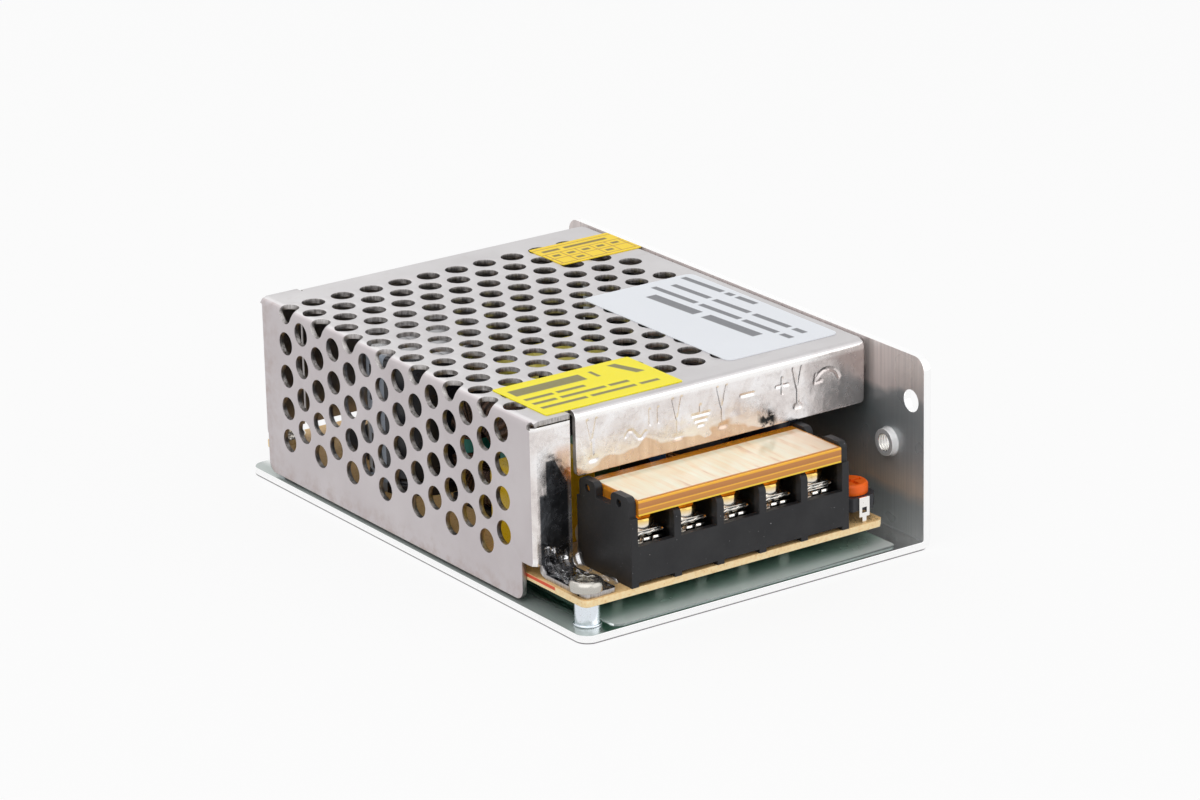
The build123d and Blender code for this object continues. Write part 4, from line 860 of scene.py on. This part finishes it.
def circuit_board():
    """Tan paper laminate above and at the edges, green varnish with tracks below."""
    f = Finish("board_laminate", (0.74, 0.58, 0.32), 0.5, Specular_IOR_Level=0.3)
    x, y, z = f.axes()
    speck = f.noise(0.0005, 4, 0.75)
    cloud = f.noise(0.004, 2, 0.5)
    top = f.ramp(speck, (0.3, (0.5, 0.27, 0.09)), (0.45, (0.88, 0.58, 0.26)), (0.7, (0.98, 0.72, 0.38)))
    top = f.mix(f.spread(cloud, 0.0, 0.4), top, (0.86, 0.53, 0.22))
    # Printed strokes beside the trimmer
    scrawl = f.noise(0.0013, 2, 0.4, distort=2.2)
    stroke = f.near(scrawl, 0.5, 0.018)
    beside = f.boxes(x, y, [(17.3, 21.8, -40.6, -38.0)], 0.2)
    top = f.mix(f.both(stroke, beside), top, (0.03, 0.025, 0.02))
    track = f.noise(0.0032, 1, 0.3, distort=0.2)
    green = f.ramp(track, (0.47, (0.08, 0.24, 0.16)), (0.49, (0.14, 0.33, 0.24)))
    edge = f.ramp(speck, (0.22, (0.55, 0.3, 0.1)), (0.42, (0.98, 0.72, 0.38)), (0.75, (1.0, 0.86, 0.56)))
    red = f.both(f.between(z, 4.95, 5.45, 0.05), f.boxes(x, y, [(-28.2, -27.6, -34.0, -26.0)], 0.1))
    edge = f.mix(red, edge, (0.75, 0.1, 0.04))
    f.tone = f.mix(f.facing("Z", 1), edge, top)
    f.paint(f.facing("Z", -1), green)
    return f.surface(speck, 0.38, 0.6, 0.00004, 0.3)


def moulded(name, colour, rough, lift=1.35, **sockets):
    """Moulded plastic: slight tone drift, fine grain and a few paler scuffs."""
    f = Finish(name, colour, rough, 0.0, **sockets)
    cloud = f.noise(0.004, 3, 0.5)
    fine = f.noise(0.0003, 2, 0.6)
    scuff = f.noise(0.0011, 5, 0.75)
    pale = tuple(min(1.0, c * lift + 0.002) for c in colour)
    worn = tuple(min(1.0, c * 1.5 + 0.02) for c in colour)
    f.stain(cloud, pale, 1.0, 0.35, 0.7)
    f.stain(scuff, worn, 0.4, 0.66, 0.8)
    return f.surface(fine, rough - 0.06, rough + 0.08, 0.00001, 0.5)


def block_black():
    """The block's black plastic, dusted with a few pale specks, with painted light on its side facing -X
    and painted shade in its bays.
    """
    f = Finish("block_black", (0.01, 0.01, 0.012), 0.45, 0.0, Specular_IOR_Level=0.28)
    x, y, z = f.axes()
    cloud = f.noise(0.004, 3, 0.5)
    fine = f.noise(0.0003, 2, 0.6)
    dust = f.noise(0.00028, 1, 0.4)
    f.tone = f.mix(f.spread(cloud, 0.0, 1.0, 0.35, 0.7), (0.016, 0.016, 0.018), (0.025, 0.025, 0.027))
    # Painted light: the side facing -X is lighter
    f.paint(f.facing("X", -1), (0.032, 0.032, 0.033), 0.45)
    # Painted shade: near black inside the terminal bays
    bay_shade = f.both(f.between(y, -39.85, -31.0, 0.15), f.between(z, 9.5, 14.8, 0.4))
    bay_shade = f.both(bay_shade, f.between(x, -19.2, 15.1, 0.1))
    f.paint(bay_shade, (0.003, 0.003, 0.003))
    f.stain(dust, (0.35, 0.35, 0.36), 0.9, 0.79, 0.83)
    return f.surface(fine, 0.36, 0.5, 0.00001, 0.5)


def plated(name, colour, rough):
    """Plated metal: slightly uneven, with duller specks."""
    f = Finish(name, colour, rough, 1.0)
    cloud = f.noise(0.0012, 3, 0.6)
    speck = f.noise(0.0003, 3, 0.7)
    f.stain(speck, (0.35, 0.3, 0.24), 0.5, 0.6, 0.78)
    return f.surface(cloud, rough * 0.7, rough * 1.5, 0.00002, 0.4)


def terminal_screw():
    """Nickel-plated screw whose head is painted gold towards its top, as painted amber light from the
    lid above it.
    """
    f = Finish("terminal_screw", (0.8, 0.77, 0.7), 0.16, 1.0)
    _, _, z = f.axes()
    cloud = f.noise(0.0012, 3, 0.6)
    # Painted light: the amber lid's light turns the head gold towards its top
    f.tone = f.mix(f.above(z, 13.15, 0.5), (0.86, 0.83, 0.78), (0.86, 0.58, 0.17))
    f.stain(cloud, (0.3, 0.2, 0.08), 0.5, 0.6, 0.78)
    return f.surface(cloud, 0.1, 0.24, 0.00002, 0.4)


def serrated(name, colour):
    """Plated clamp metal with fine grooves across it and along its edges."""
    f = Finish(name, colour, 0.14, 1.0)
    _, y, z = f.axes()
    ridge = f.maths("SINE", f.both(y, 2 * math.pi / 0.0008))
    line = f.maths("SINE", f.both(z, 2 * math.pi / 0.00042))
    both_ways = f.plus(ridge, line)
    cloud = f.noise(0.0015, 3, 0.6)
    f.stain(line, shade(colour, 0.3), 0.55, 0.1, 0.9)
    f.stain(cloud, (0.3, 0.26, 0.2), 0.4, 0.6, 0.78)
    return f.done(Roughness=f.spread(cloud, 0.1, 0.2), Normal=f.bump(both_ways, 0.00005, 0.35))


def amber():
    """Amber lid: a painted peach sheen on top between saturated rims, and front edges banded with
    painted highlights.
    """
    f = Finish("amber_plastic", (1.0, 0.45, 0.04), 0.08, 0.0, IOR=1.5)
    x, y, z = f.axes()
    cloud = f.noise(0.005, 2, 0.5)
    streak = f.noise(0.0012, 3, 0.6, (1.0, 0.1, 1.0), distort=0.2)
    body = f.ramp(cloud, (0.3, (0.93, 0.36, 0.025)), (0.7, (1.0, 0.47, 0.05)))
    painted_sheen = f.ramp(streak, (0.28, (0.8, 0.52, 0.34)), (0.4, (1.0, 0.83, 0.58)), (0.6, (1.0, 0.96, 0.75)))
    # The painted sheen dims towards the right end
    dusk = f.spread(x, 0.0, 0.6, 0.006, 0.0165)
    painted_sheen = f.mix(dusk, painted_sheen, (0.8, 0.5, 0.36))
    plate = f.both(f.facing("Z", 1), f.boxes(x, y, [(-18.75, 14.6, -40.55, -31.3)], 0.09))
    f.tone = f.mix(plate, body, painted_sheen)
    # Front edge, with painted highlights on its lines and darker bands between them, from the bottom:
    # bright line, brown band, thin line, mauve band, bright rim
    band = f.ramp(
        f.spread(z, 0.0, 1.0, 0.01545, 0.01765),
        (0.0, (1.0, 0.66, 0.04)), (0.1, (1.0, 0.66, 0.04)), (0.13, (0.66, 0.26, 0.05)),
        (0.38, (0.72, 0.3, 0.04)), (0.42, (1.0, 0.52, 0.05)), (0.47, (1.0, 0.52, 0.05)),
        (0.5, (0.56, 0.22, 0.05)), (0.8, (0.62, 0.25, 0.06)), (0.85, (1.0, 0.5, 0.03)),
        (1.0, (1.0, 0.52, 0.03)),
    )
    front = f.maths("LESS_THAN", y, -0.0409)
    f.paint(front, band)
    clear = f.minus(0.6, f.both(f.larger(plate, front), 0.54))
    scratch = f.noise(0.0006, 3, 0.7, (1.0, 0.15, 1.0))
    rough = f.spread(scratch, 0.06, 0.2)
    return f.done(Transmission_Weight=clear, Roughness=rough, Normal=f.bump(cloud, 0.00006, 0.3))


def plain_label(name, colour):
    """Glossy film for a label, still without its print."""
    f = Finish(name, colour, 0.4, Specular_IOR_Level=0.18)
    fibre = f.noise(0.0004, 3, 0.6)
    cloud = f.noise(0.006, 2, 0.5)
    f.stain(cloud, shade(colour, 0.94), 0.25)
    f.feed(Roughness=f.spread(fibre, 0.3, 0.42), Normal=f.bump(fibre, 0.000006, 0.4))
    return f


def rating_print():
    """Pale label with four rows of plain bars that lean slightly across it."""
    f = plain_label("label_white", (0.84, 0.865, 0.91))
    x, y, _ = f.axes()
    across = f.plus(x, f.both(y, 0.055))
    bars = [(14.6, 16.4, -20.0, -8.6), (14.6, 16.4, -6.9, 3.7)]
    bars += [(17.8, 18.8, *row) for row in ((-23.8, -21.6), (-20.7, -13.4), (-12.6, -3.9), (-3.0, 6.7))]
    bars += [(20.6, 21.6, *row) for row in ((-23.2, -20.8), (-19.9, -12.2), (-11.2, -3.4), (-2.4, 5.8))]
    bars += [(23.85, 24.85, *row) for row in ((-8.6, -4.4), (-3.6, -2.0), (-1.2, 7.7))]
    ink = f.boxes(across, y, bars, 0.1)
    f.paint(ink, (0.07, 0.07, 0.08), 0.82)
    return f.done()


def front_print():
    """Yellow label: one thick bar, a slanting dark bar and three thin rows."""
    f = plain_label("label_yellow_front", (1.0, 0.87, 0.006))
    x, y, _ = f.axes()
    rows = (
        (-20.6, -18.2, ((-24.2, -12.6), (-11.0, -10.4))),
        (-22.9, -22.1, ((-24.2, -19.6), (-19.0, -14.4))),
        (-24.9, -24.1, ((-24.2, -20.4), (-19.7, -12.4), (-11.8, -8.6))),
        (-26.9, -26.1, ((-24.2, -16.8), (-16.1, -8.8), (-8.1, -5.0))),
    )
    ink = f.boxes(x, y, [(*span, low, high) for low, high, spans in rows for span in spans], 0.1)
    slant = f.plus(x, f.both(y, 0.35))
    ink = f.larger(ink, f.boxes(slant, y, [(-13.6, -12.2, -22.4, -17.6)], 0.1))
    f.paint(ink, (0.12, 0.11, 0.09), 0.85)
    return f.done()


def date_print():
    """Yellow label ruled into a table of empty and marked fields."""
    f = plain_label("label_yellow_date", (1.0, 0.71, 0.004))
    x, y, _ = f.axes()
    rules = [(13.9, 27.9, edge - 0.1, edge + 0.1) for edge in (24.2, 26.6, 29.0, 31.6)]
    rules += [(edge - 0.1, edge + 0.1, 24.2, 29.0) for edge in (14.4, 17.0, 19.6, 22.2, 24.8, 27.4)]
    ink = f.boxes(x, y, rules, 0.05)
    f.paint(ink, (0.42, 0.17, 0.02), 0.8)
    marks = [(15.0 + 2.6 * i, 16.3 + 2.6 * i, 27.4, 28.2) for i in range(5)]
    marks += [(17.6, 18.9, 25.0, 25.8), (22.8, 24.1, 25.0, 25.8)]
    marks += [(14.8, 17.8, 29.9, 30.7), (18.6, 26.2, 29.9, 30.7)]
    f.paint(f.boxes(x, y, marks, 0.08), (0.07, 0.05, 0.03), 0.8)
    return f.done()


def sleeve(name, colour, mark, place, turn, radius, top):
    """A can in a printed sleeve: a pale band of dashes at an angle from -X, and a scored bare top."""
    f = Finish(name, colour, 0.3)
    x, y, z = f.axes()
    across = f.minus(x, place[0] * MM)
    along = f.minus(y, place[1] * MM)
    angle = f.maths("ARCTAN2", along, f.both(across, -1.0))
    band = f.near(angle, turn, 0.32)
    dash = f.maths("FRACT", f.both(z, 1 / 0.0034))
    dash = f.maths("GREATER_THAN", dash, 0.45)
    core = f.near(angle, turn, 0.14)
    f.paint(band, mark)
    f.paint(f.both(core, dash), colour)
    bare = f.maths("LESS_THAN", f.distance(across, along), (radius - 0.9) * MM)
    bare = f.both(bare, f.above(z, top - 0.6, 0.02))
    scored = f.larger(f.between(across, -0.18, 0.18), f.between(along, -0.18, 0.18))
    f.paint(bare, (0.72, 0.73, 0.75))
    f.paint(f.both(bare, scored), (0.25, 0.25, 0.26), 0.6)
    cloud = f.noise(0.003, 2, 0.5)
    return f.surface(cloud, 0.22, 0.38, 0.00003, 0.2, Metallic=bare)


def wound(name, colour, centre, axis, count, depth=0.00035):
    """Turns of enamelled wire: about an axis through centre, or stacked along it."""
    f = Finish(name, colour, 0.26, 0.55)
    _, y, z = f.axes()
    if axis == "X":
        side = f.minus(y, centre[0] * MM)
        up = f.minus(z, centre[1] * MM)
        place = f.both(f.maths("ARCTAN2", up, side), count / (2 * math.pi))
    else:
        place = f.both(z, 1 / (count * MM))
    turn = f.maths("SINE", f.both(place, 2 * math.pi))
    cloud = f.noise(0.002, 3, 0.6)
    # Painted shade in the grooves between the turns
    f.paint(f.spread(turn, 1.0, 0.0, -1.0, 0.2), shade(colour, 0.16))
    f.stain(cloud, shade(colour, 0.6), 0.4)
    return f.done(Roughness=f.spread(cloud, 0.2, 0.34), Normal=f.bump(turn, depth, 0.5))


def tape():
    """Yellow polyester tape with its overlaps and a few wrinkles."""
    f = Finish("tape_yellow", (0.72, 0.62, 0.12), 0.25)
    x, _, _ = f.axes()
    cloud = f.noise(0.004, 3, 0.6, distort=0.4)
    lap = f.between(f.plus(x, f.both(cloud, 0.001)), -1.2, -1.0, 0.04)
    f.tone = f.ramp(cloud, (0.3, (0.82, 0.7, 0.08)), (0.7, (0.98, 0.9, 0.22)))
    f.paint(lap, (0.3, 0.24, 0.03), 0.6)
    return f.surface(cloud, 0.18, 0.34, 0.0002, 0.5)


STEEL, FLAP, TAB, CUT = cover_steel(), flap_steel(), tab_steel(), cut_edge()
SCRAP = scrap_film()
NICKEL = plated("nickel_plate", (0.8, 0.77, 0.7), 0.16)
ZINC = plated("zinc_plate", (0.76, 0.81, 0.86), 0.2)
TIN = plated("tin_plate", (0.88, 0.86, 0.82), 0.18)
EPOXY = moulded("package_black", (0.016, 0.016, 0.018), 0.5, Specular_IOR_Level=0.3)
SERRATED, SCREW = serrated("clamp_plate", (0.9, 0.88, 0.83)), terminal_screw()
CAN, DASH = (0.015, 0.02, 0.04), (0.55, 0.58, 0.6)
PAD = (0.3, 0.31, 0.33)
WAYS = range(1, 6)

# Every node's finish, and the width in millimetres that its edges are rounded by
ROUNDED = {
    "chassis_base": (aluminium(), 0.1),
    "circuit_board": (circuit_board(), 0.05),
    "terminal_block": (block_black(), 0.14),
    "terminal_cover": (amber(), 0.08),
    "board_pillars": (ZINC, 0.08),
    "terminal_contacts": (serrated("contact_plate", (0.9, 0.88, 0.84)), 0.06),
    "x_capacitor": (moulded("box_yellow", (0.95, 0.62, 0.015), 0.3, lift=1.1), 0.15),
    "trimmer_body": (
        moulded("trimmer_black", (0.025, 0.026, 0.03), 0.4, Specular_IOR_Level=0.35), 0.08
    ),
    "trimmer_leg": (TIN, 0.04),
    "trimmer_rotor": (
        moulded("trimmer_orange", (0.88, 0.13, 0.006), 0.35, lift=1.15, Specular_IOR_Level=0.3), 0.08
    ),
    "foot_tab_screw": (plated("dull_nickel", (0.52, 0.5, 0.46), 0.24), 0.06),
    "transformer_core": (moulded("ferrite", (0.035, 0.035, 0.04), 0.55), 0.15),
    "transformer_winding": (tape(), 0.2),
    "transformer_bobbin": (EPOXY, 0.08),
    "line_choke_core": (moulded("choke_teal", (0.02, 0.24, 0.19), 0.35, lift=1.2), 0.15),
    "line_choke_windings": (wound("choke_wire", (0.1, 0.055, 0.035), (-4.5, 13.9), "X", 44), 0.2),
    "inrush_thermistor": (moulded("disc_green", (0.05, 0.14, 0.07), 0.4), 0.15),
    "fuse": (moulded("fuse_ceramic", (0.55, 0.52, 0.45), 0.4, lift=1.1), 0.08),
    "bulk_capacitor": (
        sleeve("bulk_sleeve", (0.012, 0.013, 0.018), (0.38, 0.43, 0.5), (-18.6, 12.2), 0.05, 7.6, 25.5),
        0.15,
    ),
    "output_capacitor_1": (sleeve("output_sleeve_1", CAN, DASH, (16.3, -21.2), 2.74, 5.0, 21.5), 0.12),
    "output_capacitor_2": (sleeve("output_sleeve_2", CAN, DASH, (16.3, -10.4), -2.54, 5.0, 21.5), 0.12),
    "supply_capacitor": (sleeve("supply_sleeve", CAN, DASH, (9.5, 24.0), 1.94, 2.5, 16.5), 0.1),
    "output_choke_core": (moulded("choke_ferrite", (0.04, 0.04, 0.045), 0.5), 0.1),
    "y_capacitor": (moulded("disc_blue", (0.03, 0.12, 0.36), 0.35, lift=1.1), 0.12),
    "cover_screws": (NICKEL, 0.05),
    "wall_screws": (NICKEL, 0.06),
    "board_screws": (NICKEL, 0.06),
    "switching_transistor": (EPOXY, 0.08),
    "output_rectifier": (EPOXY, 0.08),
}
for way in WAYS:
    ROUNDED[f"terminal_clamp_{way}"] = (SERRATED, 0.06)
    ROUNDED[f"terminal_screw_{way}"] = (SCREW, 0.06)

# The nodes that show as they are, or stand under the folded cover
SHARP = {
    "insulating_film": floor_film(),
    "line_choke_base": EPOXY,
    "rectifier_diodes": EPOXY,
    "resistors": moulded("resistor_blue", (0.3, 0.42, 0.46), 0.35, lift=1.1),
    "output_choke_coil": wound("coil_wire", (0.76, 0.34, 0.14), (0, 0), "Z", 0.7, 0.0003),
    "control_chip": EPOXY,
    "optocoupler": EPOXY,
    "voltage_reference": EPOXY,
    "switching_transistor_pad": moulded("pad_grey", PAD, 0.6, lift=1.1),
    "output_rectifier_pad": moulded("pad_grey_2", PAD, 0.6, lift=1.1),
    "front_label": front_print(),
    "date_label": date_print(),
    "rating_label": rating_print(),
    "perforated_cover": STEEL,
}
for name, node in frame["nodes"].items():
    node.data.materials.clear()
    node.data.materials.append(SHARP[name] if name in SHARP else ROUNDED[name][0])


def dress(node_name, width):
    """A copy of a node with its edges rounded by width millimetres, which stands for it."""
    source = frame["nodes"][node_name]
    mesh = source.data.copy()
    mesh.name = node_name + "_shape"
    work = bmesh.new()
    work.from_mesh(mesh)
    bmesh.ops.remove_doubles(work, verts=work.verts, dist=WELD)
    bmesh.ops.dissolve_limit(
        work, angle_limit=math.radians(LEVEL), verts=work.verts, edges=work.edges, delimit={"NORMAL"}
    )
    for face in work.faces:
        face.smooth = True
    work.to_mesh(mesh)
    work.free()
    if mesh.has_custom_normals:
        mesh.attributes.remove(mesh.attributes["custom_normal"])
    shape = placed(node_name + "_shape", mesh)
    round_edges(shape, width, PART_ANGLE)
    body = source["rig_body"]
    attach(shape, body)
    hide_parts(node_name)
    return shape


cover = build_cover()
for finish in (STEEL, FLAP, TAB, CUT, CUT, CUT):
    cover.data.materials.append(finish)
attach(cover, "case")
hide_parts("perforated_cover")

SLOTS = {row["node"]: row["material_slot"] for row in frame["record"]["subparts"]}
for name, (finish, width) in ROUNDED.items():
    dress(name, width)


# Added small pieces, in millimetres; a way is one terminal of the block
WAY_PITCH, FIRST_WAY_X, CLAMP_Y, LEAF_Z = 7.05, -16.15, -36.5, 12.0
THREAD_X, THREAD_PITCH, THREAD_TURNS, THREAD_RADIUS, THREAD_CREST = 27.1, 0.45, 5, 1.27, 0.13
PILLARS = ((TAB_SCREW_X, TAB_SCREW_Y), (-25.15, 37.6), (19.0, 37.6))
FOOT_Z, FOOT_RADIUS, FOOT_ROLL = 1.38, 1.78, 0.17
LIP_PROFILE = (
    (-38.4, 10.4), (-38.75, 10.42), (-39.05, 10.6), (-39.2, 11.0), (-39.3, 11.5),
    (-39.48, 11.5), (-39.4, 10.9), (-39.2, 10.45), (-38.8, 10.2), (-38.4, 10.15),
)
LIP_TONGUES = ((-0.95, 0.45), (0.62, 2.05))
LEAF_HALF_X, LEAF_HALF_Y, LEAF_STEPS, LEAF_THICKNESS = 2.72, 2.5, 30, 0.14
SCRAP_LEFT, SCRAP_WIDTH, SCRAP_LENGTH, SCRAP_STEPS = -27.6, 5.9, 11.5, (34, 26)
SCRAP_FRONT, SCRAP_BACK, SCRAP_Z, SCRAP_RISE = -40.6, -31.05, 6.25, 8.6


def way_x(way):
    return FIRST_WAY_X + WAY_PITCH * (way - 1)


def add_mesh(name, verts, faces, finish, body, slot):
    """A smooth piece from millimetre vertices that rides a body."""
    mesh = bpy.data.meshes.new(name)
    mesh.from_pydata([Vector(v) * MM for v in verts], [], faces)
    mesh.materials.append(finish)
    for face in mesh.polygons:
        face.use_smooth = True
    shape = placed(name, mesh)
    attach(shape, body)
    return shape


def ring(centre, axis, radius, tube, around=40, across=10):
    """A torus about X or Z, as vertices and faces."""
    verts, faces = [], []
    for i in range(around):
        a = 2 * math.pi * i / around
        for j in range(across):
            b = 2 * math.pi * j / across
            out, along = radius + tube * math.cos(b), tube * math.sin(b)
            flat = (out * math.cos(a), out * math.sin(a))
            step = (along, *flat) if axis == "X" else (*flat, along)
            verts.append(tuple(c + s for c, s in zip(centre, step)))
            right, up = (i + 1) % around, (j + 1) % across
            faces.append((i * across + j, right * across + j, right * across + up, i * across + up))
    return verts, faces


def joined(parts):
    """Several pieces' vertices and faces as one."""
    verts, faces = [], []
    for more_verts, more_faces in parts:
        start = len(verts)
        verts += more_verts
        faces += [tuple(i + start for i in face) for face in more_faces]
    return verts, faces


def quads(across, along):
    """The faces of a grid of vertices, each after its middle's shares of the grid."""
    for i in range(across):
        for j in range(along):
            a = i * (along + 1) + j
            yield (i + 0.5) / across, (j + 0.5) / along, (a, a + along + 1, a + along + 2, a + 1)


def collar_thread():
    """Crests of the thread in the wall's tapped hole."""
    places = [(THREAD_X + THREAD_PITCH * i, HOLE_Y, HOLE_Z) for i in range(THREAD_TURNS)]
    crests = [ring(place, "X", THREAD_RADIUS, THREAD_CREST) for place in places]
    add_mesh("collar_thread", *joined(crests), TIN, "case", SLOTS["chassis_base"])


def contact_lips():
    """The upturned front end of each contact: two bright tongues with a gap between them."""
    count = len(LIP_PROFILE)
    faces = [(i, (i + 1) % count, (i + 1) % count + count, i + count) for i in range(count)]
    faces += [tuple(range(count))[::-1], tuple(range(count, 2 * count))]
    pieces = []
    for way in WAYS:
        for tongue in LIP_TONGUES:
            verts = [(way_x(way) + side, y, z) for side in tongue for y, z in LIP_PROFILE]
            pieces.append((verts, faces))
    add_mesh("contact_lips", *joined(pieces), TIN, "case", SLOTS["terminal_contacts"])


def wave_plate(way):
    """The corrugated upper leaf of a clamp plate, which shows past its edges."""
    verts = []
    for i in range(LEAF_STEPS + 1):
        for j in range(LEAF_STEPS + 1):
            x = -LEAF_HALF_X + 2 * LEAF_HALF_X * i / LEAF_STEPS
            y = -LEAF_HALF_Y + 2 * LEAF_HALF_Y * j / LEAF_STEPS
            z = LEAF_Z + 0.13 * math.sin(x * 3.3 + 0.8 * y) + 0.08 * math.sin(5.0 * y)
            verts.append((way_x(way) + x, CLAMP_Y + y, z))
    faces = [face for _, _, face in quads(LEAF_STEPS, LEAF_STEPS)]
    shape = add_mesh(
        f"clamp_leaf_{way}", verts, faces, SERRATED, f"clamp_{way}", SLOTS[f"terminal_clamp_{way}"]
    )
    thick = shape.modifiers.new("thick", "SOLIDIFY")
    thick.thickness = LEAF_THICKNESS * MM


def pillar_rings():
    """The rolled foot of each pillar on the floor."""
    feet = [ring((x, y, FOOT_Z), "Z", FOOT_RADIUS, FOOT_ROLL) for x, y in PILLARS]
    add_mesh("pillar_feet", *joined(feet), ZINC, "case", SLOTS["board_pillars"])


def crumpled_film():
    """A torn scrap of clear protective film left round the foot tab and up the corner flange."""
    across, up = SCRAP_STEPS
    verts = []
    for i in range(across + 1):
        for j in range(up + 1):
            u, v = i / across, j / up
            x = SCRAP_LEFT + SCRAP_WIDTH * u + 0.25 * math.sin(9 * v)
            along = SCRAP_LENGTH * v + 0.5 * math.sin(7 * u + 1)
            crease = 0.22 * math.sin(11 * u + 4 * v) + 0.18 * math.sin(17 * v - 6 * u)
            crease = abs(crease + 0.12 * math.sin(29 * u))
            bend = max(0.0, along - SCRAP_RISE)
            y = min(SCRAP_FRONT + along, SCRAP_BACK) - (0.25 * crease if bend else 0.0)
            lift = (0.42 + crease) * (0.35 if along < 1.0 else 1.0)
            verts.append((x, y, SCRAP_Z + lift + bend * 0.95))
    # The hole round the screw's head is left out
    faces = []
    for u, v, face in quads(across, up):
        if math.hypot((u - 0.3) / 0.42, (v - 0.18) / 0.21) >= 1.0:
            faces.append(face)
    add_mesh("film_scrap", verts, faces, SCRAP, "case", SLOTS["perforated_cover"])


collar_thread()
contact_lips()
crumpled_film()
for way in WAYS:
    wave_plate(way)
pillar_rings()
